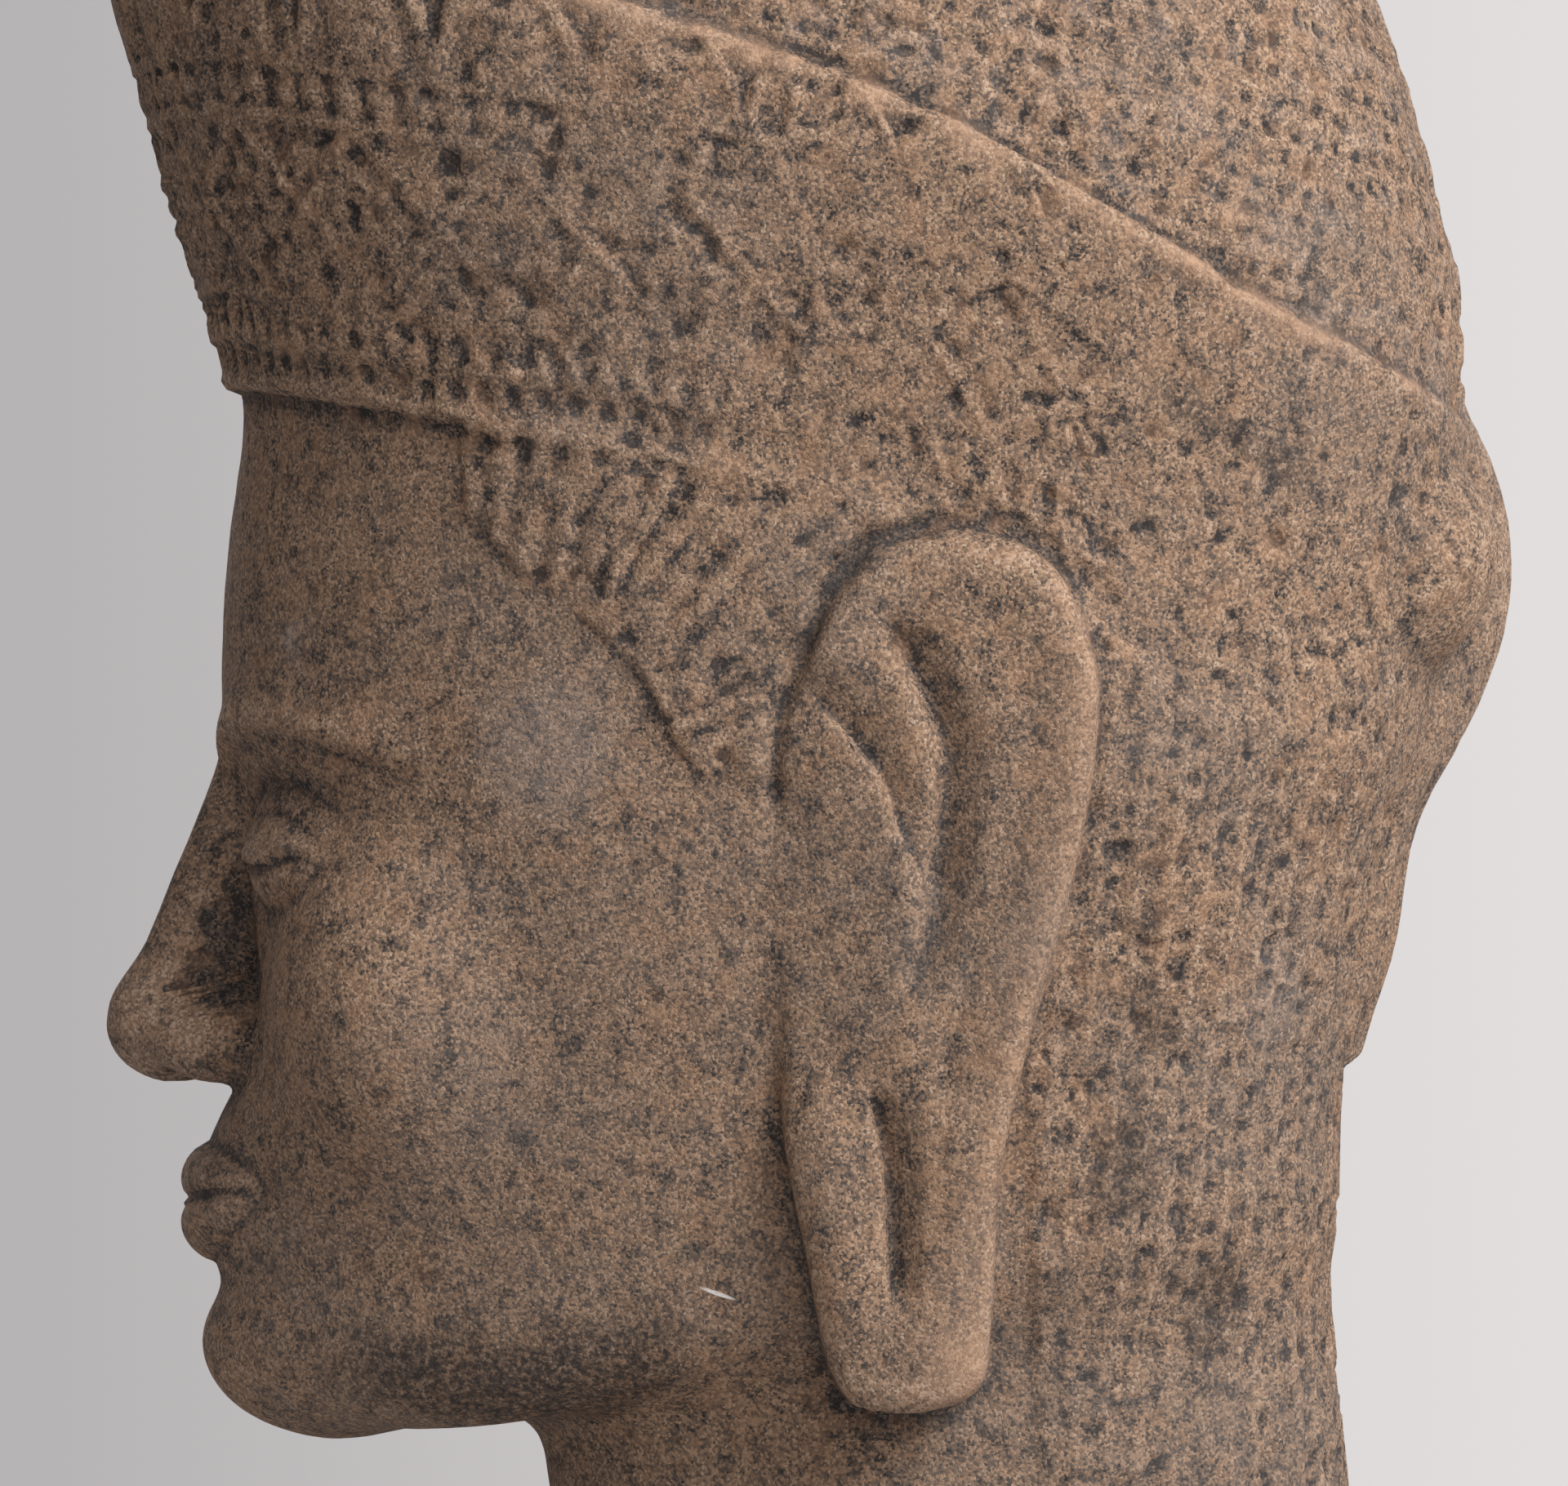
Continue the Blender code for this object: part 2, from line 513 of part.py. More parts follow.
def thinned(mesh, faces):
    """The mesh with its flattest triangles taken out until so many are left, fewest at ears and face."""
    helper = bpy.data.objects.new("helper", mesh)
    bpy.context.scene.collection.objects.link(helper)
    places = np.empty(3 * len(mesh.vertices))
    mesh.vertices.foreach_get("co", places)
    x, y, z = places.reshape(-1, 3).T + np.array([[0], [DEPTH_MIDDLE], [CUT]])
    by_ear = step(64, 70, np.abs(x)) * step(-22, -12, y) * step(60, 50, y)
    by_ear *= step(-5, 5, z) * step(175, 165, z)
    by_face = step(-84, -94, y) * step(-8, 4, z) * step(145, 130, z)
    spared = helper.vertex_groups.new(name="spared")
    for weight in (0.3, 0.6, 0.9):
        chosen = np.flatnonzero(np.maximum(by_ear, 0.7 * by_face) > weight - 0.2)
        spared.add(chosen.tolist(), weight, "REPLACE")
    modifier = helper.modifiers.new("thin", "DECIMATE")
    modifier.vertex_group = "spared"
    modifier.invert_vertex_group = True
    modifier.vertex_group_factor = SPARING
    modifier.ratio = faces / sum(len(polygon.vertices) - 2 for polygon in mesh.polygons)
    modifier.use_collapse_triangulate = True
    modifier.use_symmetry = True
    modifier.symmetry_axis = "X"
    bpy.context.view_layer.update()
    result = bpy.data.meshes.new_from_object(helper.evaluated_get(bpy.context.evaluated_depsgraph_get()))
    bpy.data.objects.remove(helper)
    return result


def cut_flat(mesh):
    """The neck sawn off level at the ground and closed with one flat face."""
    work = bmesh.new()
    work.from_mesh(mesh)
    everything = work.verts[:] + work.edges[:] + work.faces[:]
    bmesh.ops.bisect_plane(work, geom=everything, plane_co=(0, 0, 0), plane_no=(0, 0, -1), clear_outer=True)
    rim = [edge for edge in work.edges if edge.is_boundary]
    bmesh.ops.contextual_create(work, geom=rim)
    bmesh.ops.recalc_face_normals(work, faces=work.faces)
    bmesh.ops.triangulate(work, faces=[face for face in work.faces if len(face.verts) > 3])
    work.to_mesh(mesh)
    work.free()


def sandstone():
    """Brown sandstone, matt."""
    material = bpy.data.materials.new("sandstone")
    material.use_nodes = True
    shader = material.node_tree.nodes["Principled BSDF"]
    shader.inputs["Base Color"].default_value = (0.235, 0.160, 0.118, 1)
    shader.inputs["Roughness"].default_value = 0.88
    shader.inputs["Metallic"].default_value = 0.0
    return material


def build_head():
    """The head as one named solid, its box centred over the origin."""
    half = skin(COLUMNS // 2 + 1, ROWS)
    grid = whole_turn(raised(half, relief(*half)))
    grid[2] -= CUT
    grid[1] -= DEPTH_MIDDLE
    mesh = thinned(grid_mesh("vishnu_head", grid), FACES_KEPT)
    mesh.transform(Matrix.Scale(POINT, 4))
    cut_flat(mesh)
    mesh.materials.append(sandstone())
    mesh.shade_smooth()
    mesh.set_sharp_from_angle(angle=math.radians(55))
    head = bpy.data.objects.new("vishnu_head", mesh)
    bpy.context.scene.collection.objects.link(head)


def main():
    for old in list(bpy.data.objects):
        bpy.data.objects.remove(old, do_unlink=True)
    build_head()


main()
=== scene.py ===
"""A weathered sandstone head of Vishnu, seen from its left side on a pale studio floor.

The skin of the stone is a surface over two parameters: a turn round the head, and a height up a spine
inside it. The carving, the wear and the pits are raised or sunk from that skin. The tables are in
points, 188 of them from the hairline to the underside of the chin, which is a millimetre each here.
The face looks along -Y and +X is the head's left.
"""

import math

import bmesh
import bpy
import numpy as np
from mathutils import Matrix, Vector


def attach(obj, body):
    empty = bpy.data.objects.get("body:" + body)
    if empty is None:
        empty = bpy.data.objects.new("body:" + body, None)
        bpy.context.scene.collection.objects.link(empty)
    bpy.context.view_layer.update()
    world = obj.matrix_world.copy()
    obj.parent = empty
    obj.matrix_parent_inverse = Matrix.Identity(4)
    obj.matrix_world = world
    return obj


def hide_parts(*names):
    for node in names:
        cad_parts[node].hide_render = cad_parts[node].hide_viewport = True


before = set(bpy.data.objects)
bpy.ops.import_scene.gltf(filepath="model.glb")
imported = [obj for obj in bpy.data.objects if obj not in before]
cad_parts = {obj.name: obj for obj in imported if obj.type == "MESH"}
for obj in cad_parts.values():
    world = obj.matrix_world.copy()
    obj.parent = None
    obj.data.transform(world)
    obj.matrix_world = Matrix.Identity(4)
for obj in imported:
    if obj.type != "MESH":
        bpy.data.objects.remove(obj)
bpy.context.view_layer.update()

# The photograph's view: straight at the head's left side, a little above the eyes.
CAMERA_DISTANCE = 1.65
VIEW_WIDTH = 0.2853
SENSOR_WIDTH = 36
AIM = (-0.0034, 0.1711)
# The round floor under the neck.
FLOOR_RADIUS = 0.28

# The stone's layout, in points, as the solid has it.
POINT = 0.001
CUT = -47.0
DEPTH_MIDDLE = -2.5
FACE = 188.0
BROW = FACE * 2 / 3
NOSE_BASE = FACE / 3
EYE = BROW - 0.30 * FACE / 3
MOUTH = NOSE_BASE - FACE / 9

# Rows of the head, the neck and the hair: height, front, widest place, back, half width.
HEAD_ROWS = np.array(
    [
        (-60, -84, 10, 96, 50),
        (-8, -88, 10, 95, 54),
        (8, -102, 9, 94.5, 59),
        (16, -104.5, 8, 93.4, 61.5),
        (28, -103, 8, 92.2, 64),
        (46, -104, 8, 91, 67.5),
        (64, -103, 8, 92.4, 70),
        (86, -102, 8, 98, 73),
        (106, -104, 8, 103, 75),
        (127, -107.5, 8, 110, 77),
        (150, -107.5, 6, 113, 79),
        (176, -104.5, 4, 115, 80.5),
        (200, -101, 2, 116, 81),
    ]
)
NECK_ROWS = np.array(
    [
        (-60, -44, 26, 98.5, 60),
        (-30, -46, 26, 97.2, 56),
        (0, -50, 26, 94.4, 55),
        (40, -54, 26, 91.5, 56),
        (90, -58, 26, 92, 58),
    ]
)
CROWN_ROWS = np.array(
    [
        (120, -90, 0, 110, 74),
        (150, -96, 0, 113.5, 78.5),
        (188, -104.2, 0, 117.5, 84),
        (215, -111, 0, 118.5, 88.5),
        (245, -119, 0, 118.5, 92),
        (275, -126.5, 0, 118.5, 94),
    ]
)
DOME_TOP = 350.0
DOME_SPRING = np.array([(-125, 272), (118, 175)])
DOME_POWER = 1.8
HEAD_POWER = 2.25
NECK_POWER = 2.15
HEAD_TOP = 215.0
NECK_TOP = 110.0
HAIR_FOOT = 140.0
JAW_RISE = 0.24
JAW_TURN = -60.0
JAW_BEND = 14.0
DIADEM_THICKNESS = 5.2
EAR_ROOT = 74.0
EAR_STAND = 6.5
RIBBON_THICKNESS = 5.0
RIBBON_HALF_WIDTH = 19.0
HAIR_STAND = 1.3
# The knot behind, as middles and radii of its loops and its turn, and the heights of its tied ends.
LOOP_MIDDLE = (21, 100, 158)
LOOP_RADII = (20, 22.3, 22)
TURN_MIDDLE = (0, 102.5, 156)
TURN_RADII = (11, 23.6, 36)
ENDS_TIP = 67.0
ENDS_ROOT = 150.0

# The diadem's lower edge and its rim, as (y, z) seen from the side.
LOWER_EDGE = np.array(
    [
        (-106, 188), (-63, 180), (-29, 174.5), (0, 168), (25, 161),
        (48, 146), (64, 131.5), (86, 125), (118, 121),
    ]
)
RIM = np.array([(-131, 274), (-85, 265), (-34, 252), (14, 235.5), (70, 206), (119, 181.3)])
# The band's thickness along its lower edge and along its rim, as shares of its thickness in front.
EDGE_SHARE = np.array([(-106, 0.54), (-62, 0.34), (-25, 0.14), (118, 0.12)])
RIM_SHARE = np.array([(-131, 1), (-50, 0.66), (30, 0.52), (118, 0.36)])
# The tied ends' thickness by height, as shares of their thickness at the tips.
ENDS_SHARE = np.array([(66, 0.9), (73, 0.95), (88, 1.06), (110, 0.76), (131, 1.22), (150, 1.3)])

# The ear seen from the side: its outline, and the middle lines of its carving.
EAR_OUTLINE = np.array(
    [
        (-8.7, 118.5), (-5.5, 131), (0.1, 145), (10.9, 158.4), (26, 161), (40.3, 155),
        (48, 138), (47.5, 118), (43.1, 96), (36, 70), (31.6, 48.4), (30.2, 25),
        (27.7, 11.4), (15, 7.4), (3.9, 11.2), (-1.7, 33), (-5.8, 55), (-7.8, 85),
    ]
)
EAR_FACE = np.array([(0, -5), (30, -2.5), (60, -0.5), (100, 1), (140, 3.5), (165, 2.5)])
EAR_SPREAD = 0.09
HELIX = [
    (4, 136), (4.6, 146), (12, 153.5), (25, 156.3), (37, 151),
    (43.3, 138), (43.3, 120), (39, 97), (32, 72), (27.5, 50),
]
HELIX_FURROW = [(18, 149.5), (31, 147), (37.6, 136.7), (36, 111.5), (27.7, 90.4), (22.5, 69.4), (20.7, 27.4)]
ANTIHELIX = [(27, 138), (29.5, 124), (27.5, 108), (20, 88), (15.5, 72)]
EAR_CREASE = [(24, 163), (9, 159.5), (0.5, 149), (-4, 137), (-7, 128), (-7.8, 118), (-7, 108)]
LOBE_FRONT = [(0.5, 62), (3, 45), (6, 25)]
LOBE_BACK = [(21.5, 58), (21.5, 40), (20.5, 20)]
# Grooves of the ear, as (z, y) from the bottom up: the lobe's slit, the hollow, and the root of the rim.
LOBE_SLIT = np.array([(27.4, 13), (41.4, 12.6), (52.6, 11.6), (62.4, 9.5)])
CONCHA = np.array(
    [
        (73, 11), (81, 16.5), (90, 19.6), (102, 21.3), (111, 22),
        (121, 22.6), (127, 21.4), (134, 18.2), (145, 12.8),
    ]
)
CRUS = np.array([(100, 19.2), (109.6, 14.4), (117.6, 11.8), (123.6, 7.1), (132.6, -0.9)])

# The edge of the hair on the temple, and the middle of its fan of strands.
TEMPLE_EDGE = np.array(
    [(-62, 192), (-61.5, 163), (-51, 152.5), (-40, 144), (-29, 132), (-24, 122), (-9, 116)]
)
FAN_MIDDLE = (-57.0, 111.0)
STRANDS_A_TURN = 57
NAPE_EDGE = 37.0

# Sizes of the fine carving.
LOCK = 6.5
KNOT_ROW = 5.2
KNOT_WIDTH = 5.4
KNOT_SLOPE = 0.26
PIT_PITCH = 5.9
BEAD_PITCH = 6.6
LOZENGE = 28.0
PETAL = 25.0
# The ring on which the diadem's motifs are counted, in half width, half depth and middle radius.
RING_HALF_WIDTH = 87.0
RING_HALF_DEPTH = 114.0
RING_RADIUS = 101.0
# Heights over the diadem's lower edge.
PIT_ROW = 5.6
LEAF_FOOT = 8.2
LEAF_HEIGHT = 8.2
LOZENGE_MIDDLE = 32.8
LOZENGE_HEIGHT = 29.5
BEAD_ROW = 52.8
PETAL_FOOT = 58.5

# Where the stone is stained: the jaw, dark spots behind the ear (y, z, radius), and a streak by the rim.
JAW_STAIN = [(-77, 12), (-60, 10), (-46, 10), (-33, 16)]
DARK_SPOTS = ((54, 50, 8), (58, 79, 6), (57, 92, 3.5), (69, 26, 7))
RIM_STREAK = [(61, 185), (72, 178), (84, 171)]

# How finely the skin is sampled, how the rays walk to it, and how many triangles of it are kept.
COLUMNS = 780
ROWS = 500
DOME_ROWS_SHARE = 0.32
COARSE = 4
OUTSIDE = 190.0
STRIDE = 0.7
LEAST_SLOPE = 0.004
TRIANGLES_KEPT = 196000
# The spine that the rays start from: its top, its sweep, and how far the rays dip in front, in degrees.
SPINE_TOP = 250.0
SPINE_SWEEP = (88, 116)
DIPS = [(-3, 0), (12, -14), (27, -21), (52, -26), (60, -24), (74, -20), (94, -12), (130, -5), (190, 0)]


def blend_union(a, b, width):
    """The union of two fields: the lower one, less a parabola of a given width where they are close."""
    share = np.clip(0.5 + 0.5 * (b - a) / width, 0, 1)
    return b + (a - b) * share - width * share * (1 - share)


def blend_common(a, b, width):
    """What two fields share: the higher one, with its corner rounded over a width."""
    return -blend_union(-a, -b, width)


def step(low, high, value):
    """0 below low, 1 above high, and between them 3s squared less 2s cubed."""
    share = np.clip((value - low) / (high - low), 0, 1)
    return share * share * (3 - 2 * share)


def bell(distance, width):
    """e to the power of minus the distance over the width, squared."""
    return np.exp(-((distance / width) ** 2))


def curve_at(at, table):
    """A smooth curve through a table's (place, value) rows: a cubic between each two, level beyond them."""
    places, values = np.asarray(table, float).T
    slopes = np.gradient(values, places)
    at = np.clip(at, places[0], places[-1])
    k = np.clip(np.searchsorted(places, at) - 1, 0, len(places) - 2)
    span = places[k + 1] - places[k]
    s = (at - places[k]) / span
    rise = values[k] * (1 + 2 * s) * (1 - s) ** 2 + values[k + 1] * s * s * (3 - 2 * s)
    return rise + span * (slopes[k] * s * (1 - s) ** 2 - slopes[k + 1] * s * s * (1 - s))


def closed_curve(points, steps=4):
    """A smooth closed line through points, each span cut into a few steps."""
    before, here, after, beyond = (np.roll(points, n, axis=0)[:, None] for n in (1, 0, -1, -2))
    s = np.linspace(0, 1, steps, endpoint=False)[None, :, None]
    line = here + 0.5 * s * (
        after - before
        + s * (2 * before - 5 * here + 4 * after - beyond + s * (3 * (here - after) + beyond - before))
    )
    return line.reshape(-1, 2)


def line_distance(y, z, line):
    """Distance in the side view from each place to a line of straight runs."""
    nearest = np.full(np.shape(y), 1e9)
    for (y0, z0), (y1, z1) in zip(line[:-1], line[1:]):
        run, climb = y1 - y0, z1 - z0
        share = np.clip(((y - y0) * run + (z - z0) * climb) / (run * run + climb * climb), 0, 1)
        nearest = np.minimum(nearest, (y - y0 - share * run) ** 2 + (z - z0 - share * climb) ** 2)
    return np.sqrt(nearest)


def outline_distance(y, z, outline):
    """Distance in the side view to a closed outline, below zero inside it."""
    ring = np.vstack([outline, outline[:1]])
    inside = np.zeros(np.shape(y), bool)
    for (y0, z0), (y1, z1) in zip(ring[:-1], ring[1:]):
        crosses = (z0 > z) != (z1 > z)
        inside ^= crosses & (y < (y1 - y0) * (z - z0) / (z1 - z0 + 1e-12) + y0)
    return np.where(inside, -1, 1) * line_distance(y, z, ring)


def ellipsoid(x, y, z, centre, radii):
    """An egg form: k(k - 1) over the steepness of k, where k is the distance from its centre in radii."""
    scaled = [(a - c) / r for a, c, r in zip((x, y, z), centre, radii)]
    near = np.sqrt(sum(s * s for s in scaled))
    steep = np.sqrt(sum((s / r) ** 2 for s, r in zip(scaled, radii)))
    return near * (near - 1) / np.maximum(steep, 1e-9)


def tapered_rod(x, y, z, start, end, start_radius, end_radius):
    """A round rod between two places: distance from its middle line, less a radius that changes along it."""
    along = np.subtract(end, start)
    offset = [a - s for a, s in zip((x, y, z), start)]
    share = np.clip(sum(o * d for o, d in zip(offset, along)) / (along @ along), 0, 1)
    apart = np.sqrt(sum((o - share * d) ** 2 for o, d in zip(offset, along)))
    return apart - start_radius - (end_radius - start_radius) * share


def rows_field(x, y, z, rows, power, cap=None):
    """A form of level sections: |x / half|^p + |(y - widest) / depth|^p = 1, with a front and a back depth.

    A cap adds the share of the dome's height risen to the same sum, so that the sections close.
    """
    front, widest, back, half = (curve_at(z, rows[:, (0, n)]) for n in range(1, 5))
    depth = np.where(y < widest, widest - front, back - widest)
    across = np.abs(x) / half
    deep = np.abs(y - widest) / depth
    ring = (across**power + deep**power + 1e-9) ** (1 / power)
    slope_x = (across / ring) ** (power - 1) / half
    slope_y = (deep / ring) ** (power - 1) / depth
    if cap is None:
        return (ring - 1) / np.maximum(np.hypot(slope_x, slope_y), LEAST_SLOPE)
    risen, height = cap
    whole = (ring**DOME_POWER + risen**DOME_POWER) ** (1 / DOME_POWER)
    of_ring = (ring / whole) ** (DOME_POWER - 1)
    of_rise = (risen / whole) ** (DOME_POWER - 1) / height
    slope = np.sqrt((of_ring * slope_x) ** 2 + (of_ring * slope_y) ** 2 + of_rise**2)
    return (whole - 1) / np.maximum(slope, LEAST_SLOPE)


def crown(x, y, z):
    """The hair: a mass that leans forward under the diadem and closes in a tall dome."""
    spring = np.interp(y, DOME_SPRING[:, 0], DOME_SPRING[:, 1])
    height = DOME_TOP - spring
    return rows_field(x, y, z, CROWN_ROWS, HEAD_POWER, (np.maximum(z - spring, 0) / height, height))


def diadem(y, z, hair):
    """The band: the hair's form made thicker, between the lower edge and the rim."""
    edge, rim = curve_at(y, LOWER_EDGE), curve_at(y, RIM)
    share = step(0, 1, (z - edge) / (rim - edge))
    share = curve_at(y, EDGE_SHARE) * (1 - share) + curve_at(y, RIM_SHARE) * share
    band = hair - DIADEM_THICKNESS * share
    band = blend_common(band, 0.92 * (edge - z), 1.2 + 14 * step(66, 92, y))
    return blend_common(band, 0.88 * (z - rim), 2.2)


def knot(x, y, z, skull):
    """The diadem's knot behind, two loops and the turn between them, and its tied ends on the nape."""
    loops = ellipsoid(np.abs(x), y, z, LOOP_MIDDLE, LOOP_RADII)
    turn = ellipsoid(x, y, z, TURN_MIDDLE, TURN_RADII)
    bow = blend_union(loops, turn, 2.0)
    half = RIBBON_HALF_WIDTH * (0.75 + 0.25 * step(130, 80, z))
    across = 1 - 0.5 * step(3, half, np.abs(x)) - 0.3 * bell(x, 2.2)
    ends = skull - RIBBON_THICKNESS * curve_at(z, ENDS_SHARE) * across
    ends = blend_common(ends, np.abs(x) - half, 3.0)
    ends = blend_common(ends, ENDS_TIP + 0.35 * np.abs(np.abs(x) - half / 2) - z, 2.0)
    ends = blend_common(ends, 30 - y, 2.0)
    ends = blend_common(ends, z - ENDS_ROOT, 4.0)
    return blend_union(bow, ends, 6.0)


def face(x, y, z):
    """What is added in front: egg forms for chin, muzzle and cheeks, and rods and eggs for the nose."""
    chin = ellipsoid(x, y, z, (0, -91, 15), (23, 20, 14.5))
    muzzle = ellipsoid(x, y, z, (0, -86, MOUTH), (31, 26, 24))
    cheek = ellipsoid(np.abs(x), y, z, (37, -72, 78), (27, 24, 32))
    form = blend_union(blend_union(chin, muzzle, 10), cheek, 18)
    bridge = tapered_rod(x, y, z, (0, -102, 118), (0, -117, NOSE_BASE + 14), 7.0, 9.0)
    tip = ellipsoid(x, y, z, (0, -117, NOSE_BASE + 9.8), (11.5, 11.5, 9.8))
    wing = ellipsoid(np.abs(x), y, z, (12, -108.5, NOSE_BASE + 7.8), (7.6, 10.5, 7.6))
    nose = blend_union(blend_union(bridge, tip, 7), wing, 4)
    nostril = ellipsoid(np.abs(x), y, z, (6.8, -114, NOSE_BASE - 0.5), (3.2, 6.2, 3.6))
    nose = blend_common(nose, -nostril, 2)
    return form, nose


def face_relief(x, z):
    """Height of the face's carving seen from the front, as bells along arcs: sockets, lids, brows, lips."""
    side = np.abs(x)
    socket = bell(np.hypot((side - 27) / 18, (z - EYE - 5) / 10.5), 1)
    tall = np.where(z > EYE, 11, 12.5)
    ball = np.clip(1 - ((side - 30.5) / 19) ** 2 - ((z - EYE + 0.5) / tall) ** 2, 0, 1)
    across = np.clip((side - 30.5) / 16.5, -1, 1)
    lid = EYE - 3.8 + 2.2 * across**2 + 0.8 * across
    below = EYE - 5.8 + 4.6 * across**2 + 0.8 * across
    inside_eye = step(1.05, 0.75, np.abs(side - 30.5) / 16.5)
    crease = EYE + 5.4 - 6.0 * across**2
    height = -4.4 * socket + 6.4 * ball**1.25
    height -= 1.1 * inside_eye * step(lid + 0.5, lid - 0.5, z) * step(below - 3.5, below, z)
    height += 0.6 * inside_eye * bell(z - lid - 1.0, 1.2)
    height += 0.5 * inside_eye * bell(z - below + 1.2, 1.2)
    height -= 0.8 * inside_eye * bell(z - crease, 1.1)
    arch = BROW + 3.2 - 8.5 * ((side - 33) / 30) ** 2
    along = step(0, 8, side) * step(66, 52, side)
    height += 2.3 * along * np.where(z > arch, bell(z - arch, 5.0), bell(z - arch, 2.6))
    line = MOUTH + 2.2 * (side / 27) ** 2 - 0.8 * bell(side, 6)
    taper = np.sqrt(np.clip(1 - (side / 28.5) ** 2, 0, 1))
    cupid = 0.8 * bell(side - 5, 3.5) - 0.6 * bell(side, 2.2)
    upper = np.clip(1 - ((z - line - 4.6 * taper) / (4.8 * taper + cupid + 0.3)) ** 2, 0, 1)
    lower = np.clip(1 - ((z - line + 5.4 * taper) / (5.5 * taper + 0.3)) ** 2, 0, 1)
    height += 3.4 * taper**0.5 * upper**0.6 + 3.8 * taper**0.5 * lower**0.6
    height -= 0.9 * taper**0.3 * bell(z - line, 0.9)
    height -= 1.4 * bell(side - 29, 3.0) * bell(z - line, 3.2)
    height -= 1.2 * bell(z - MOUTH + 15.5, 5.0) * bell(side, 17)
    under_nose = step(NOSE_BASE - 13, NOSE_BASE - 8, z) * step(NOSE_BASE + 1, NOSE_BASE - 3, z)
    height -= 1.1 * bell(side, 2.6) * under_nose
    return height


def groove(y, z, line, ahead, behind, fade=4):
    """A groove seen from the side: steep on its front side, gentle behind, and fading out at its ends."""
    past = y - curve_at(z, line)
    ends = step(line[0, 0] - 3, line[0, 0] + fade, z) * step(line[-1, 0] + 3, line[-1, 0] - 4, z)
    return bell(past, np.where(past < 0, ahead, behind)) * ends


def ear(side, y, z):
    """An ear: its outline carried out sideways to a face with the rim, the hollow, the lobe and its slit."""
    face_out = EAR_ROOT + EAR_STAND + curve_at(z, EAR_FACE) + EAR_SPREAD * (y - 15)
    face_out += 0.9 * bell(line_distance(y, z, HELIX), 4.5)
    face_out -= 0.5 * bell(line_distance(y, z, HELIX_FURROW), 1.9) * step(140, 90, z)
    face_out += 0.5 * bell(line_distance(y, z, ANTIHELIX), 6.0)
    face_out -= 3.8 * groove(y, z, CONCHA, 2.2, 5.0, 16)
    face_out -= 1.7 * groove(y, z, CRUS, 0.7, 5.0)
    face_out -= 5.5 * np.clip((14 - y) / 23, 0, 1) * step(48, 72, z) * step(141, 130, z)
    face_out += 1.2 * bell(np.hypot((y - 3) / 7, (z - 114) / 12), 1)
    face_out -= 3.4 * groove(y, z, LOBE_SLIT, 0.8, 4.0)
    face_out += 1.8 * bell(np.hypot((y - 15) / 11, (z - 14) / 9), 1)
    face_out += 1.5 * bell(line_distance(y, z, LOBE_FRONT), 4.5)
    face_out += 1.5 * bell(line_distance(y, z, LOBE_BACK), 5.0)
    return blend_common(outline_distance(y, z, EAR_RING), side - face_out, 4.5)


def temple_mask(y, z):
    """1 where the temple's hair lies: above its edge, before the ear and under the diadem."""
    return step(-62.5, -60.5, y) * step(0, 2.5, z - curve_at(y, TEMPLE_EDGE[1:])) * step(20, 10, y)


def nape_mask(y, z):
    """1 where the nape's hair lies: behind a nearly upright edge, under the diadem."""
    return step(NAPE_EDGE - 2, NAPE_EDGE + 1, y - 0.05 * (60 - z))


def by_ear(x, y, z, out):
    """Whether places lie in the block round an ear, beyond a distance from the middle."""
    return (np.abs(x) > out) & (y > -30) & (y < 66) & (z > -8) & (z < 178)


def stone(x, y, z):
    """The whole head as one field, below zero inside: head, face, neck, hair, diadem, knot and ears."""
    skull = blend_common(rows_field(x, y, z, HEAD_ROWS, HEAD_POWER), z - HEAD_TOP, 8)
    turn = (y - JAW_TURN) / JAW_BEND
    jaw = JAW_RISE * JAW_BEND * np.logaddexp(0, turn)
    skull_cut = blend_common(skull, 0.97 * (jaw - z), 14)
    neck = blend_common(rows_field(x, y, z, NECK_ROWS, NECK_POWER), z - NECK_TOP, 8)
    added, nose = face(x, y, z)
    field = blend_union(skull_cut, added, 12)
    front = step(-58, -80, y)
    relief = np.zeros_like(x)
    relief[front > 0] = (front * face_relief(x, z))[front > 0]
    field = blend_union(field - relief, nose, 4.5)
    field = blend_union(field, neck, 10)
    hair = crown(x, y, z)
    field = blend_union(field, blend_common(hair, HAIR_FOOT - z, 10), 3)
    field = blend_union(field, diadem(y, z, hair), 0.8)
    field = blend_union(field, knot(x, y, z, skull), 2.5)
    under = step(2 + 16 * step(66, 90, y), -1, z - curve_at(y, LOWER_EDGE))
    field -= HAIR_STAND * under * np.maximum(temple_mask(y, z), nape_mask(y, z) * step(175, 165, z))
    near = by_ear(x, y, z, 40)
    field[near] = blend_union(field[near], ear(np.abs(x[near]), y[near], z[near]), 2.2)
    return field


EAR_RING = closed_curve(EAR_OUTLINE)


def spaced(low, high, count, closeness):
    """Places from low to high, closer together where their closeness is larger."""
    even = np.linspace(low, high, 2001)
    total = np.cumsum(closeness(even))
    return np.interp(np.linspace(total[0], total[-1], count), total, even)


def turn_closeness(turn):
    """Columns are closest in front of the face, and at the front and back walls of the ear."""
    by_ear = 0.6 * bell(turn - 1.73, 0.4) + 1.5 * bell(turn - 1.56, 0.08) + bell(turn - 1.95, 0.1)
    return 1 + 1.8 * bell(turn - 0.08, 0.2) + by_ear


def height_closeness(height):
    """Rows are closest where they meet the mouth and the nose."""
    return 1 + 1.6 * bell(height - 82, 16)


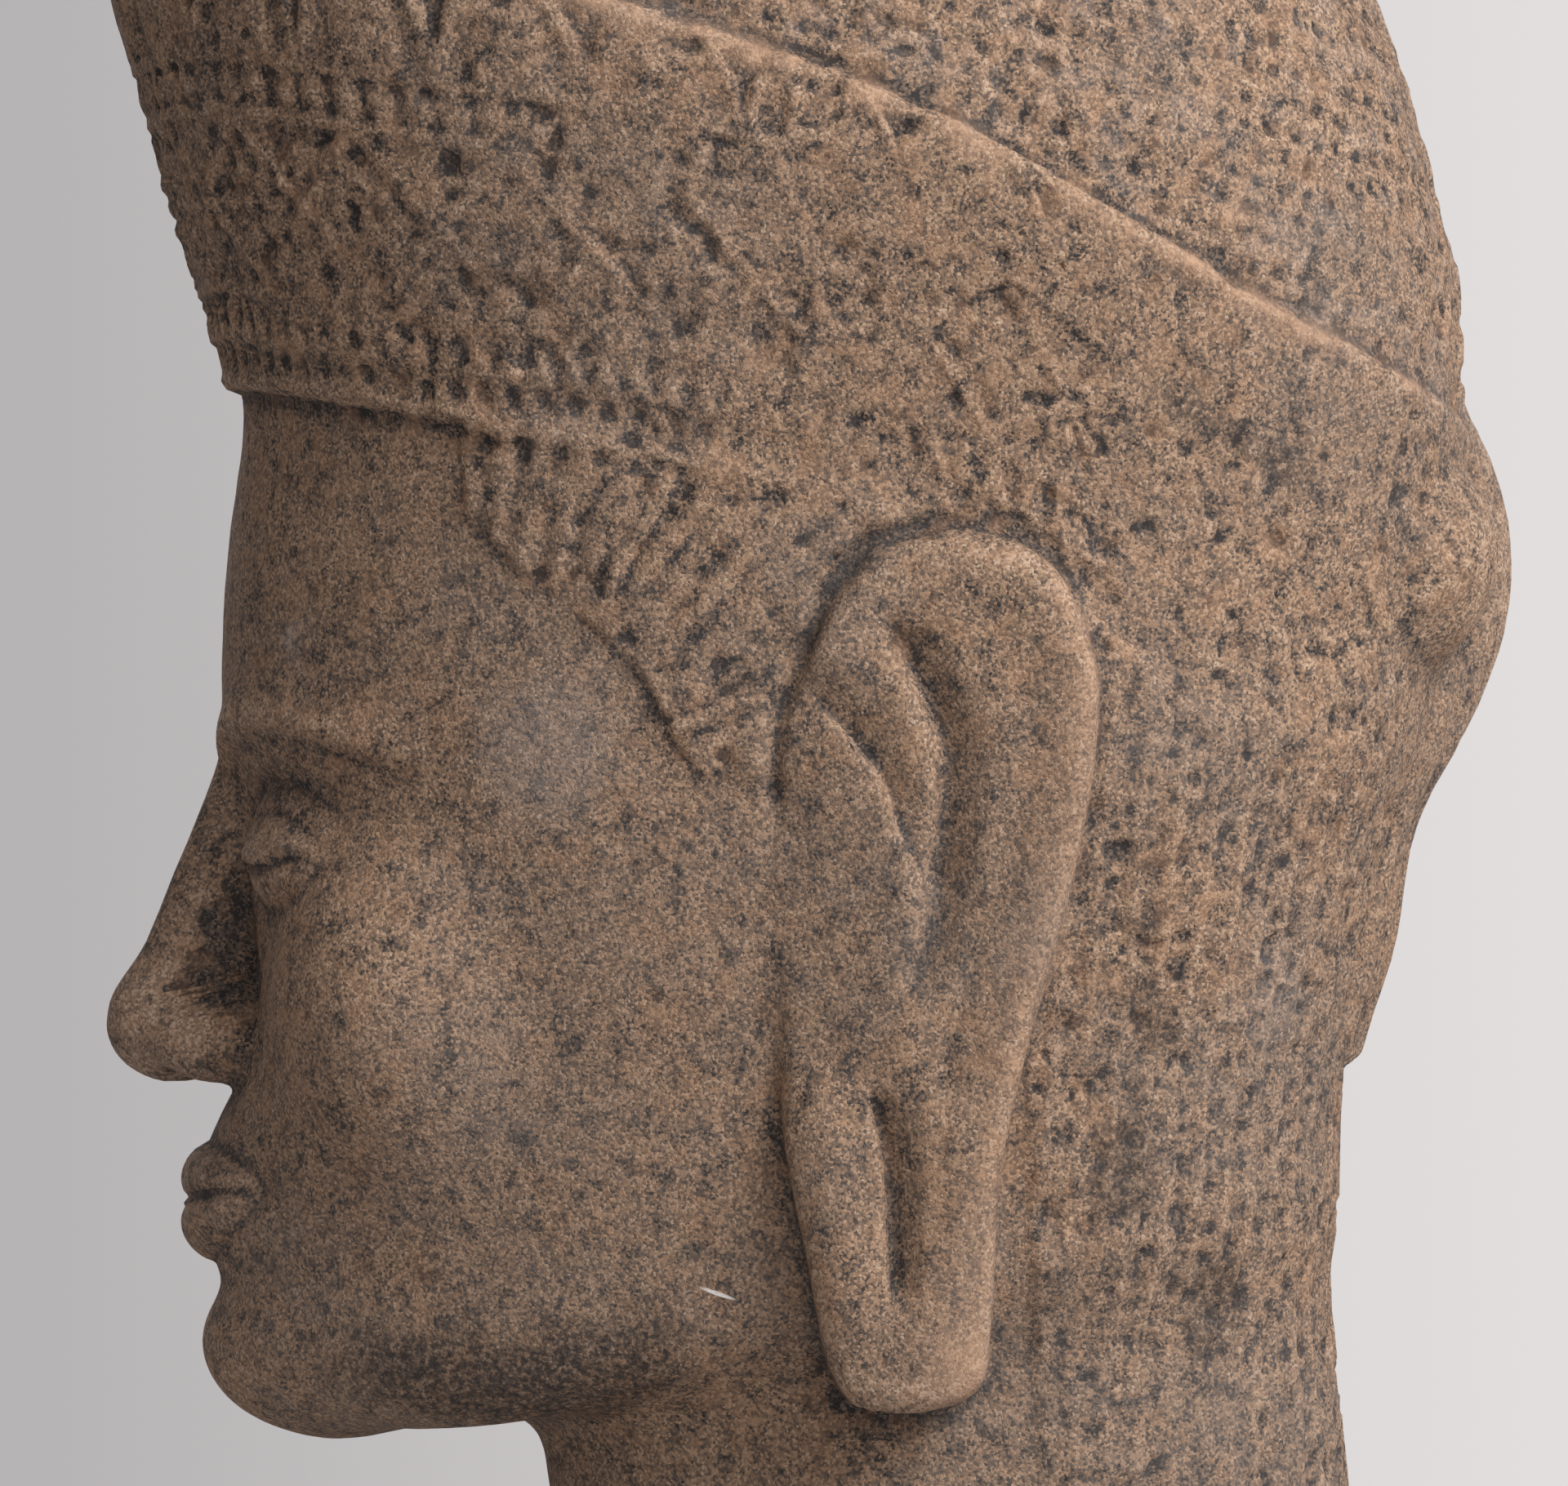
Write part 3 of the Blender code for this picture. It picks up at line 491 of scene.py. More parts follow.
def spine(columns, rows):
    """Where each ray starts and its way: half a turn from front to back, and from the neck to the crown.

    Below the brow the rays in front point down, so that they meet the undersides of the nose and chin.
    """
    turn = spaced(0, math.pi, columns, turn_closeness)
    ahead = np.stack([SPINE_SWEEP[0] * np.sin(turn), -SPINE_SWEEP[1] * np.cos(turn)])
    ahead /= np.hypot(*ahead)
    low, high = CUT - 4, SPINE_TOP
    dome = int(rows * DOME_ROWS_SHARE)
    height = np.concatenate([spaced(low, high, rows - dome, height_closeness), np.full(dome, high)])
    lift = np.concatenate([np.zeros(rows - dome), np.linspace(0, math.pi / 2, dome + 1)[1:]])
    dip = np.radians(curve_at(height, DIPS)) * (height < high)
    tilt = lift[:, None] + dip[:, None] * step(2.2, 0.5, turn)[None]
    way = np.stack([np.cos(tilt) * ahead[0], np.cos(tilt) * ahead[1], np.sin(tilt)])
    return np.broadcast_to(height[:, None], tilt.shape), way


def walked(reach, height, way, strides):
    """Each ray's reach after a number of strides towards the skin, each a share of the field there."""
    for _ in range(strides):
        reach = reach - STRIDE * stone(reach * way[0], reach * way[1], reach * way[2] + height)
    return reach


def skin(columns, rows):
    """Points of the skin on a grid: a coarse grid is walked in from outside, then every ray from near it."""
    height, way = spine(columns, rows)
    every = np.ix_(np.r_[0 : rows - 1 : COARSE, rows - 1], np.r_[0 : columns - 1 : COARSE, columns - 1])
    start = np.full(height[every].shape, OUTSIDE)
    coarse = walked(start, height[every], way[:, every[0], every[1]], 60)
    down = np.stack([np.interp(np.arange(columns), every[1][0], line) for line in coarse])
    reach = np.stack([np.interp(np.arange(rows), every[0][:, 0], line) for line in down.T]).T
    reach = walked(reach + 2.5, height, way, 26)
    return np.stack([reach * way[0], reach * way[1], reach * way[2] + height])


def outward(points):
    """The skin's outward direction: the field's slope along each axis, brought to length one."""
    slopes = []
    for axis in range(3):
        shift = np.zeros((3, 1, 1))
        shift[axis] = 0.4
        slopes.append(stone(*(points + shift)) - stone(*(points - shift)))
    way = np.stack(slopes)
    way /= np.maximum(np.linalg.norm(way, axis=0), 1e-9)
    way[0, :, (0, -1)] = 0
    return way


def whole_turn(half):
    """The half grid and its mirror image, as one grid whose rows run once round the head."""
    other = half[:, :, -2:0:-1] * np.array([-1, 1, 1])[:, None, None]
    return np.concatenate([half, other], axis=2)


def chance(i, j, k, seed):
    """A number from 0 to 1 for each cell of a lattice, by mixing the bits of its three indices."""
    mixed = (i * 73856093) ^ (j * 19349663) ^ (k * 83492791) ^ (seed * 2654435761)
    mixed = (mixed ^ (mixed >> 13)) * 1274126177 & 0xFFFFFFFF
    mixed = (mixed ^ (mixed >> 16)) * 668265263 & 0xFFFFFFFF
    return ((mixed >> 8) & 0xFFFF) / 65535.0


def noise(points, size, seed):
    """Smooth noise from -1 to 1: a chance at each lattice corner, blended over the cell between them."""
    scaled = points / size
    base = np.floor(scaled).astype(np.int64)
    s = scaled - base
    s = s * s * s * (s * (6 * s - 15) + 10)
    total = 0
    for a in (0, 1):
        for b in (0, 1):
            for c in (0, 1):
                weight = np.abs(1 - a - s[0]) * np.abs(1 - b - s[1]) * np.abs(1 - c - s[2])
                total = total + weight * chance(base[0] + a, base[1] + b, base[2] + c, seed)
    return 2 * total - 1


def rough_noise(points, size, seed, octaves=3):
    """Noise of one size, half as much of half the size, and so on."""
    return sum(noise(points, size / 2**n, seed + n) / 2**n for n in range(octaves))


def pits(points, size, seed, share):
    """Round pits: a share of the lattice's cells holds one, 1 deep at its middle and 0 at its own radius."""
    scaled = points / size - 0.5
    base = np.floor(scaled).astype(np.int64)
    deepest = np.zeros(points.shape[1:])
    for a in (0, 1):
        for b in (0, 1):
            for c in (0, 1):
                cell = (base[0] + a, base[1] + b, base[2] + c)
                middle = [n + 0.3 + 0.4 * chance(*cell, seed + m) for m, n in enumerate(cell)]
                apart = np.sqrt(sum((scaled[n] + 0.5 - middle[n]) ** 2 for n in range(3)))
                radius = 0.2 + 0.25 * chance(*cell, seed + 3)
                depth = step(1, 0.25, apart / radius) * (chance(*cell, seed + 4) < share)
                deepest = np.maximum(deepest, depth)
    return deepest


def round_the_head(x, y):
    """Distance round the head from its front to the same turn, along the diadem's level ring."""
    turns = np.linspace(0, math.pi, 721)
    across = (np.sin(turns) / RING_HALF_WIDTH) ** HEAD_POWER
    deep = (np.abs(np.cos(turns)) / RING_HALF_DEPTH) ** HEAD_POWER
    radius = (across + deep) ** (-1 / HEAD_POWER)
    ring = radius * np.stack([np.sin(turns), np.cos(turns)])
    arc = np.concatenate([[0], np.cumsum(np.hypot(*np.diff(ring)))])
    return np.interp(np.arctan2(np.abs(x), -y), turns, arc)


HALF_ROUND = float(round_the_head(np.array(0.0), np.array(100.0)))


def pillow(u, edge=0.5):
    """A row of pillows a unit apart: 1 over each, falling to 0 in the groove between two."""
    return step(1, edge, 2 * np.abs(u - np.floor(u) - 0.5))


def knots(around, y, z, sway):
    """The dome's rows of small squares, sunk between raised lines and half a square on from row to row."""
    level = z + KNOT_SLOPE * (y + 20) * step(335, 240, z)
    row = level / KNOT_ROW + 0.25 * sway
    index = np.floor(row)
    risen = np.clip(index * KNOT_ROW - 215, 0, None) / (DOME_TOP - 205)
    closing = np.clip(1 - risen**2.2, 0.02, 1) ** 0.6
    count = np.maximum(np.round(HALF_ROUND * closing / KNOT_WIDTH), 3)
    place = around / HALF_ROUND * count + 0.5 * (index % 2)
    return 0.3 - 0.8 * pillow(row, 0.1) * pillow(place, 0.1)


def locks(around, z, sway):
    """The nape's locks: upright columns of small squares, each sunk between raised lines."""
    column = (HALF_ROUND - around) * 0.86 / LOCK + 0.12 * sway
    square = z / LOCK + 0.5 * (np.floor(column) % 2) + 0.2 * sway
    return 0.4 - 0.95 * pillow(column, 0.45) * (0.35 + 0.65 * pillow(square, 0.5))


def strands(y, z, sway):
    """The temple's strands: ridges at even angles round the fan's middle."""
    angle = np.arctan2(z - FAN_MIDDLE[1], y - FAN_MIDDLE[0])
    return 0.5 * np.cos(STRANDS_A_TURN * (angle + 0.02 * sway))


def flower(u, v, radius):
    """A round flower: a raised middle, and eight petals in a ring round it."""
    apart = np.hypot(u, v)
    petals = 0.6 + 0.4 * np.cos(8 * np.arctan2(v, u))
    return bell(apart, radius * 0.3) + petals * bell(apart - radius * 0.72, radius * 0.26)


def bands(around, up, room):
    """The diadem's bands, lower edge first: fillet, pits, leaves, lozenges and flowers, beads, petals."""
    height = 0.7 * (bell(up - 1.5, 1.3) + bell(up - 17.4, 1.0) + bell(up - 48.0, 1.0) + bell(up - 57.5, 1.0))
    pit_place = around / PIT_PITCH
    apart = np.hypot((pit_place - np.round(pit_place)) * PIT_PITCH, up - PIT_ROW)
    height -= 1.0 * step(2.8, 0.3, apart)
    leaf = 2 * np.abs(pit_place - np.floor(pit_place) - 0.5)
    leaves = 0.9 * step(leaf * 1.05, leaf * 0.75, (up - LEAF_FOOT) / LEAF_HEIGHT)
    height += leaves * step(8.0, 9.0, up) * step(16.6, 15.6, up) - 0.3 * bell(up - 12, 4)
    cell = 2 * math.pi * RING_RADIUS / round(2 * math.pi * RING_RADIUS / LOZENGE)
    across = (around / cell + 0.5) % 1 - 0.5
    rise = (up - LOZENGE_MIDDLE) / LOZENGE_HEIGHT
    frame_line = np.abs(np.abs(across) + np.abs(rise) - 0.5)
    beside = np.abs(across) - 0.5
    motif = 0.9 * bell(frame_line * 20, 1.3)
    motif += 1.0 * flower(across * cell, rise * LOZENGE_HEIGHT, 7.5)
    motif += 0.9 * flower(beside * cell, rise * LOZENGE_HEIGHT, 7.5)
    motif -= 0.8 * bell(np.hypot(across * cell, (np.abs(rise) - 0.34) * LOZENGE_HEIGHT), 1.6)
    motif -= 0.8 * bell(np.hypot((np.abs(across) - 0.3) * cell, rise * LOZENGE_HEIGHT), 1.6)
    height += motif * step(18.2, 19.2, up) * step(47.2, 46.2, up)
    bead_place = around / BEAD_PITCH
    apart = np.hypot((bead_place - np.floor(bead_place) - 0.5) * BEAD_PITCH, (up - BEAD_ROW) * 0.85)
    bead = 1.0 * np.clip(1 - (apart / 3.6) ** 2, 0, 1) - 0.3
    height += bead * step(49.0, 49.8, up) * step(56.6, 55.8, up)
    share = np.clip((up - PETAL_FOOT) / np.maximum(room - PETAL_FOOT, 6), 0, 1)
    petal_place = around / PETAL
    place = 2 * np.abs(petal_place - np.floor(petal_place) - 0.5)
    width = np.sqrt(np.clip(1 - share**1.7, 0, 1)) * 0.94
    inner = width * 0.55
    behind_place = 2 * np.abs(petal_place - np.round(petal_place))
    filling = 0.8 * step(inner + 0.05, inner - 0.1, place) * step(0.75, 0.6, share)
    petal = 0.9 * bell((place - width) * 12, 1.2) + filling
    petal -= 1.1 * step(width + 0.02, width + 0.18, place) * step(0.5, 0.2, behind_place)
    height += petal * step(58.2, 59.4, up)
    return height


def carved(points):
    """Height of the fine carving and the wear over the skin, and how rough each place is."""
    x, y, z = points
    edge, rim = curve_at(y, LOWER_EDGE), curve_at(y, RIM)
    up = z - edge
    around = round_the_head(x, y)
    sway = noise(points, 14, 11)
    off_ear = np.ones_like(x)
    near = by_ear(x, y, z, 55)
    off_ear[near] = step(-0.5, 1.5, outline_distance(y[near], z[near], EAR_RING))
    behind = step(28, 40, np.abs(x)) + step(60, 50, y)
    on_band = step(-0.4, 0.8, up) * step(0.6, -0.6, z - rim) * np.clip(behind, 0, 1) * off_ear
    on_dome = step(0.5, 2.5, z - rim) * step(346, 336, z)
    ribbon = step(22, 19, np.abs(x)) * step(64, 68, z) * step(60, 80, y)
    on_nape = nape_mask(y, z) * step(0, -2, up) * off_ear * (1 - ribbon)
    on_nape *= 1 - step(66, 90, y) * step(-8, -2, up)
    on_temple = temple_mask(y, z) * step(0, -2, up) * off_ear
    left = 0.78 + 0.40 * rough_noise(points, 34, 21) - 0.2 * step(-70, 10, y) * on_band
    left = np.clip(left - 0.3 * step(35, 75, y) * on_band, 0.3, 1)
    plain = (1 - bell(z - rim + 1.0, 3.0)) * (1 - step(66, 84, y) * step(14, 6, up))
    height = on_band * plain * left * bands(around, up, rim - edge)
    height += 0.6 * on_band * bell(z - rim + 2.2, 2.0)
    drilled = pits(np.stack([around, up, 0 * up]), 5.2, 43, 0.85)
    height -= on_band * 1.5 * drilled * np.clip(0.6 + 0.6 * noise(points, 19, 44), 0.2, 1)
    height += on_dome * np.clip(left + 0.5 * noise(points, 6, 48), 0.2, 1.1) * knots(around, y, z, sway)
    height += on_nape * 0.68 * np.clip(left + 0.1, 0.3, 1) * locks(around, z, sway)
    broken = np.clip(0.8 + 0.9 * noise(points, 7, 45), 0.2, 1.4)
    height += on_temple * 0.85 * left * strands(y, z, 1.6 * sway) * broken
    height -= on_temple * 0.7 * pits(points, 5.0, 46, 0.5)
    height -= 1.8 * bell(line_distance(y, z, EAR_CREASE), 1.6) * step(108, 118, z) * step(26, 12, y)
    rough = np.clip(on_band + on_dome + on_nape + on_temple, 0, 1)
    height += np.cos(np.abs(x) * 1.1) * ribbon * 0.25
    waves = 0.55 * noise(points, 21, 31) + 0.30 * noise(points, 9, 32) + 0.25 * noise(points, 4.2, 33)
    height += (0.24 + 0.36 * rough) * waves
    height -= (0.2 + 0.6 * rough) * 0.75 * pits(points, 6.0, 41, 0.25 + 0.35 * rough)
    height -= 0.7 * rough * step(0.35, 0.7, rough_noise(points, 8, 47))
    chips = step(0.05, 0.6, rough_noise(points, 15, 51)) * step(-1.5, 0, crown(x, y, z))
    height -= 0.6 * bell(z - rim, 3.5) * chips
    return height, rough, off_ear


def spread(values, reach):
    """A grid's values averaged over a square of neighbours, round the head and up it."""
    for axis, mode in ((1, "wrap"), (0, "edge")):
        padded = np.pad(values, [(reach + 1, reach) if n == axis else (0, 0) for n in (0, 1)], mode=mode)
        sums = np.cumsum(padded, axis=axis)
        size = values.shape[axis]
        high = np.take(sums, range(2 * reach + 1, 2 * reach + 1 + size), axis=axis)
        low = np.take(sums, range(0, size), axis=axis)
        values = (high - low) / (2 * reach + 1)
    return values


def hollows(points, way):
    """How far each place lies under the average of its neighbours, along the skin's outward direction."""
    near = sum((spread(points[n], 2) - points[n]) * way[n] for n in range(3))
    far = sum((spread(points[n], 7) - points[n]) * way[n] for n in range(3))
    return near, far


def grid_mesh(name, grid, facts):
    """A mesh through a grid that closes round and comes together in a point, with facts at its points."""
    _, rows, columns = grid.shape
    points = grid[:, :-1].transpose(1, 2, 0).reshape(-1, 3)
    top = len(points)
    points = np.vstack([points, grid[:, -1].mean(axis=1)])
    index = np.arange(top).reshape(rows - 1, columns)
    beside = np.roll(index, -1, axis=1)
    quads = np.stack([index[:-1], beside[:-1], beside[1:], index[1:]], axis=-1).reshape(-1, 4)
    cap = np.stack([index[-1], beside[-1], np.full(columns, top)], axis=-1)
    corners = np.concatenate([quads.ravel(), cap.ravel()])
    starts = np.concatenate([np.arange(len(quads)) * 4, len(quads) * 4 + np.arange(len(cap)) * 3])
    mesh = bpy.data.meshes.new(name)
    mesh.vertices.add(len(points))
    mesh.vertices.foreach_set("co", points.ravel())
    mesh.loops.add(len(corners))
    mesh.loops.foreach_set("vertex_index", corners)
    mesh.polygons.add(len(starts))
    mesh.polygons.foreach_set("loop_start", starts)
    mesh.update(calc_edges=True)
    for fact, values in facts.items():
        at_points = np.append(values[:-1].ravel(), values[-1].mean())
        mesh.attributes.new(fact, "FLOAT", "POINT").data.foreach_set("value", at_points)
    return mesh


def thinned(mesh, kept):
    """The mesh with its flattest triangles taken out until a number of them is left."""
    helper = bpy.data.objects.new("helper", mesh)
    bpy.context.scene.collection.objects.link(helper)
    modifier = helper.modifiers.new("thin", "DECIMATE")
    modifier.ratio = kept / sum(len(polygon.vertices) - 2 for polygon in mesh.polygons)
    modifier.use_collapse_triangulate = True
    bpy.context.view_layer.update()
    result = bpy.data.meshes.new_from_object(helper.evaluated_get(bpy.context.evaluated_depsgraph_get()))
    bpy.data.objects.remove(helper)
    return result


def cut_flat(mesh):
    """The neck sawn off level at the ground and closed with one flat face."""
    work = bmesh.new()
    work.from_mesh(mesh)
    everything = work.verts[:] + work.edges[:] + work.faces[:]
    bmesh.ops.bisect_plane(work, geom=everything, plane_co=(0, 0, 0), plane_no=(0, 0, -1), clear_outer=True)
    rim = [edge for edge in work.edges if edge.is_boundary]
    bmesh.ops.contextual_create(work, geom=rim)
    bmesh.ops.recalc_face_normals(work, faces=work.faces)
    bmesh.ops.triangulate(work, faces=[face for face in work.faces if len(face.verts) > 3])
    work.to_mesh(mesh)
    work.free()


def marks(points, rough, off_ear):
    """How dark, pale, grey and lit each place is, from 0 to 1: stains with painted shade, rubbed pale
    places, grey patches, and a painted highlight with some wear.
    """
    x, y, z = points
    ragged = rough_noise(points, 9, 61)
    left_side = step(30, 45, x)
    jaw = line_distance(y, z, JAW_STAIN) / 9.5 + 0.35 * ragged
    stain_and_shade = 0.97 * left_side * step(1.05, 0.75, jaw)
    # a little darker over the whole top of the head, from z 150 up
    stain_and_shade = np.maximum(stain_and_shade, 0.08 * step(150, 180, z))
    for place_y, place_z, radius in DARK_SPOTS:
        spot = np.hypot(y - place_y, (z - place_z) / 1.4) / radius + 0.5 * ragged
        stain_and_shade = np.maximum(stain_and_shade, 0.8 * left_side * step(1.05, 0.5, spot))
    streak = np.maximum(bell(y - 56, 2.5), bell(y - 50, 1.5)) * step(20, 60, z) * step(125, 95, z)
    stain_and_shade = np.maximum(stain_and_shade, 0.6 * left_side * streak * step(-0.2, 0.4, ragged))
    other_side = step(-30, -45, x) * step(0.35, 0.75, rough_noise(points, 38, 71) + 0.3 * ragged)
    stain_and_shade = np.maximum(stain_and_shade, 0.7 * other_side)
    streak = line_distance(y, z, RIM_STREAK) / 3.2 + 0.5 * ragged
    stain_and_shade = np.maximum(stain_and_shade, 0.7 * left_side * step(1.1, 0.4, streak))
    # painted shade along the ear's front crease, with some dirt in it
    crease = bell(line_distance(y, z, EAR_CREASE), 2.4) * step(112, 125, z) * step(28, 14, y)
    stain_and_shade = np.maximum(stain_and_shade, 0.3 * crease * step(-0.8, 0.2, ragged))
    pale = 0.08 * left_side * step(1.15, 0.2, np.hypot(y - 81, z - 79) / 12 + 0.35 * ragged)
    above = step(-5, 3, z - curve_at(y, RIM))
    pale = np.maximum(pale, 0.10 * above * step(0.0, 0.6, rough_noise(points, 5, 91)))
    temple = np.hypot(y + 46, z - 124) / 17 + 0.25 * ragged
    pale = np.maximum(pale, 0.17 * left_side * step(1.1, 0.5, temple))
    fleck = np.hypot(y + 92.5, z - 143.8) / 1.3
    pale = np.maximum(pale, 0.8 * step(20, 30, x) * step(1.2, 0.7, fleck))
    # painted shadow under the jaw, darkening the neck below it
    stain_and_shade = np.maximum(stain_and_shade, 0.3 * step(8, -4, z) * step(20, -10, y))
    grey = 0.40 + 0.6 * rough_noise(points, 30, 81, 4) + 0.35 * step(45, 5, z) * step(20, 50, y)
    grey = np.clip(grey - 0.25 * step(150, 175, z), 0, 1)
    grey = np.maximum(grey, 0.8 * left_side * step(1.1, 0.6, temple))
    # painted highlight along the rim's top edge, which faces the light from above, with some wear
    highlight_and_wear = 0.9 * bell(z - curve_at(y, RIM) + 1.8, 2.6) * step(-0.7, 0.3, ragged) * step(112, 104, y)
    # painted highlight on the lobe and on the back half of the ear, which face the light
    lobe = np.hypot(y - 24, z - 16) / 10 + 0.3 * ragged
    highlight_and_wear = np.maximum(highlight_and_wear, 0.8 * (1 - off_ear) * step(1.1, 0.3, lobe))
    highlight_and_wear = np.maximum(highlight_and_wear, 0.35 * (1 - off_ear) * step(24, 40, y - 0.17 * (z - 80)))
    return stain_and_shade, pale, grey, highlight_and_wear


def paint(red, green, blue):
    """A colour as the shader takes it, from the picture's 0 to 255."""
    levels = np.array([red, green, blue]) / 255
    return (*np.where(levels < 0.04045, levels / 12.92, ((levels + 0.055) / 1.055) ** 2.4), 1)


def wire(tree, kind, settings=None, **inputs):
    """Adds a node with its settings, and fills its inputs from values or from other nodes' outputs."""
    node = tree.nodes.new(kind)
    for name, value in (settings or {}).items():
        setattr(node, name, value)
    for name, value in inputs.items():
        socket = next(s for s in node.inputs if s.identifier == name or s.name == name.replace("_", " "))
        if isinstance(value, bpy.types.NodeSocket):
            tree.links.new(value, socket)
        else:
            socket.default_value = value
    return node


def mixed(tree, amount, first, second):
    """A mix of two colours by an amount."""
    colours = {"A_Color": first, "B_Color": second}
    node = wire(tree, "ShaderNodeMix", {"data_type": "RGBA"}, Factor_Float=amount, **colours)
    return next(s for s in node.outputs if s.identifier == "Result_Color")


def ranged(tree, value, low, high, to_low=0.0, to_high=1.0):
    """A value carried smoothly from one range to another, and held at its ends."""
    node = wire(tree, "ShaderNodeMapRange", {"interpolation_type": "SMOOTHSTEP"}, Value=value)
    for name, number in (("From Min", low), ("From Max", high), ("To Min", to_low), ("To Max", to_high)):
        node.inputs[name].default_value = number
    return node.outputs["Result"]


def reckoned(tree, operation, *values):
    """The result of one arithmetic step."""
    node = wire(tree, "ShaderNodeMath", {"operation": operation})
    for socket, value in zip(node.inputs, values):
        if isinstance(value, bpy.types.NodeSocket):
            tree.links.new(value, socket)
        else:
            socket.default_value = value
    return node.outputs[0]


def sandstone():
    """Brown sandstone: grains of many browns, dark clusters, dirt and painted shade in hollows, stains with
    painted shade, a painted highlight with some wear, and a scratch.
    """
    material = bpy.data.materials.new("weathered_sandstone")
    material.use_nodes = True
    tree = material.node_tree
    shader = tree.nodes["Principled BSDF"]
    place = wire(tree, "ShaderNodeTexCoord").outputs["Object"]

    def noise_of(scale, detail, roughness):
        values = {"Scale": scale, "Detail": detail, "Roughness": roughness}
        return wire(tree, "ShaderNodeTexNoise", Vector=place, **values).outputs["Fac"]

    def fact(name):
        return wire(tree, "ShaderNodeAttribute", {"attribute_name": name}).outputs["Fac"]

    grains = wire(tree, "ShaderNodeTexVoronoi", Vector=place, Scale=2000.0)
    tint = wire(tree, "ShaderNodeSeparateColor", Color=grains.outputs["Color"]).outputs[0]
    fine = noise_of(3400, 2, 0.6)
    specks = noise_of(760, 3, 0.7)
    clusters = noise_of(250, 4, 0.68)
    patches = noise_of(150, 5, 0.65)
    rough, near, far = fact("rough"), fact("near_hollow"), fact("far_hollow")
    stain_and_shade, pale, grey, highlight_and_wear = fact("stain_and_shade"), fact("pale"), fact("grey"), fact("highlight_and_wear")

    depth = ranged(tree, rough, 0.0, 1.0, 0.21, 0.25)
    cluster = reckoned(tree, "MULTIPLY", ranged(tree, clusters, 0.47, 0.68), depth)
    # dirt and painted shade: the deeper a place lies under its neighbours, near and far, the darker it is
    far_hollow_dirt_and_shade = ranged(tree, far, 0.3, 1.7, 0.0, 0.17)
    hollow_dirt_and_shade = reckoned(tree, "MAXIMUM", ranged(tree, near, 0.05, 0.40, 0.0, 0.25), far_hollow_dirt_and_shade)
    hollow_dirt_and_shade = reckoned(tree, "MULTIPLY", hollow_dirt_and_shade, ranged(tree, rough, 0.0, 0.8, 0.85, 1.0))
    far_worn = ranged(tree, far, -0.35, -1.8, 0.0, 0.1)
    worn = reckoned(tree, "MAXIMUM", ranged(tree, near, -0.06, -0.40, 0.0, 0.08), far_worn)
    level = reckoned(tree, "MULTIPLY_ADD", tint, 0.42, reckoned(tree, "MULTIPLY", fine, 0.34))
    level = reckoned(tree, "MULTIPLY_ADD", specks, 0.30, level)
    level = reckoned(tree, "SUBTRACT", level, reckoned(tree, "ADD", cluster, hollow_dirt_and_shade))
    level = reckoned(tree, "ADD", level, worn)
    ramp = wire(tree, "ShaderNodeValToRGB", Fac=level)
    colours = (
        (0.16, (50, 47, 47)),
        (0.30, (84, 75, 69)),
        (0.43, (115, 97, 84)),
        (0.55, (142, 116, 95)),
        (0.68, (165, 136, 112)),
        (0.82, (186, 162, 141)),
    )
    for element, (position, colour) in zip(ramp.color_ramp.elements, (colours[0], colours[-1])):
        element.position = position
        element.color = paint(*colour)
    for position, colour in colours[1:-1]:
        ramp.color_ramp.elements.new(position).color = paint(*colour)
    colour = ramp.outputs["Color"]
    greying = reckoned(tree, "MULTIPLY", grey, ranged(tree, patches, 0.35, 0.62, 0.25, 0.75))
    colour = mixed(tree, greying, colour, mixed(tree, 0.42, colour, paint(112, 106, 103)))
    warm_patches = ranged(tree, patches, 0.52, 0.36, 0.0, 0.27)
    warming = reckoned(tree, "MULTIPLY", ranged(tree, grey, 1.0, 0.0), warm_patches)
    colour = mixed(tree, warming, colour, paint(172, 132, 101))
    # painted highlight with some wear: the rim's edge, the lobe and the back of the ear made paler
    colour = mixed(tree, reckoned(tree, "MULTIPLY", highlight_and_wear, 0.5), colour, paint(186, 150, 123))
    # stains, with painted shadow under the jaw and painted shade in the ear's front crease, darken the
    # colour
    stain_and_shade_mix = reckoned(tree, "MULTIPLY", stain_and_shade, ranged(tree, specks, 0.36, 0.62, 0.95, 0.3))
    colour = mixed(tree, stain_and_shade_mix, colour, paint(58, 53, 51))
    paling = reckoned(tree, "MULTIPLY", pale, ranged(tree, specks, 0.42, 0.58, 0.5, 1.0))
    colour = mixed(tree, paling, colour, paint(196, 182, 174))
    line = wire(
        tree,
        "ShaderNodeMapping",
        {"vector_type": "TEXTURE"},
        Vector=place,
        Location=(0.07, (-17.5 - DEPTH_MIDDLE) * POINT, (27.7 - CUT) * POINT),
        Rotation=(math.radians(-19), 0, 0),
        Scale=(0.02, 0.0038, 0.00046),
    )
    apart = wire(tree, "ShaderNodeVectorMath", {"operation": "LENGTH"}, Vector=line.outputs["Vector"])
    scratch = ranged(tree, apart.outputs["Value"], 1.1, 0.6)
    colour = mixed(tree, scratch, colour, paint(226, 220, 216))
    tree.links.new(colour, shader.inputs["Base Color"])
    tree.links.new(ranged(tree, specks, 0.3, 0.7, 0.84, 0.96), shader.inputs["Roughness"])
    shader.inputs["Specular IOR Level"].default_value = 0.18

    height = reckoned(tree, "MULTIPLY", grains.outputs["Distance"], -0.10)
    height = reckoned(tree, "MULTIPLY_ADD", fine, 0.16, height)
    height = reckoned(tree, "MULTIPLY_ADD", specks, 0.45, height)
    height = reckoned(tree, "MULTIPLY_ADD", clusters, 0.55, height)
    bump = wire(tree, "ShaderNodeBump", Height=height, Strength=0.75, Distance=0.0011)
    tree.links.new(bump.outputs["Normal"], shader.inputs["Normal"])
    return material


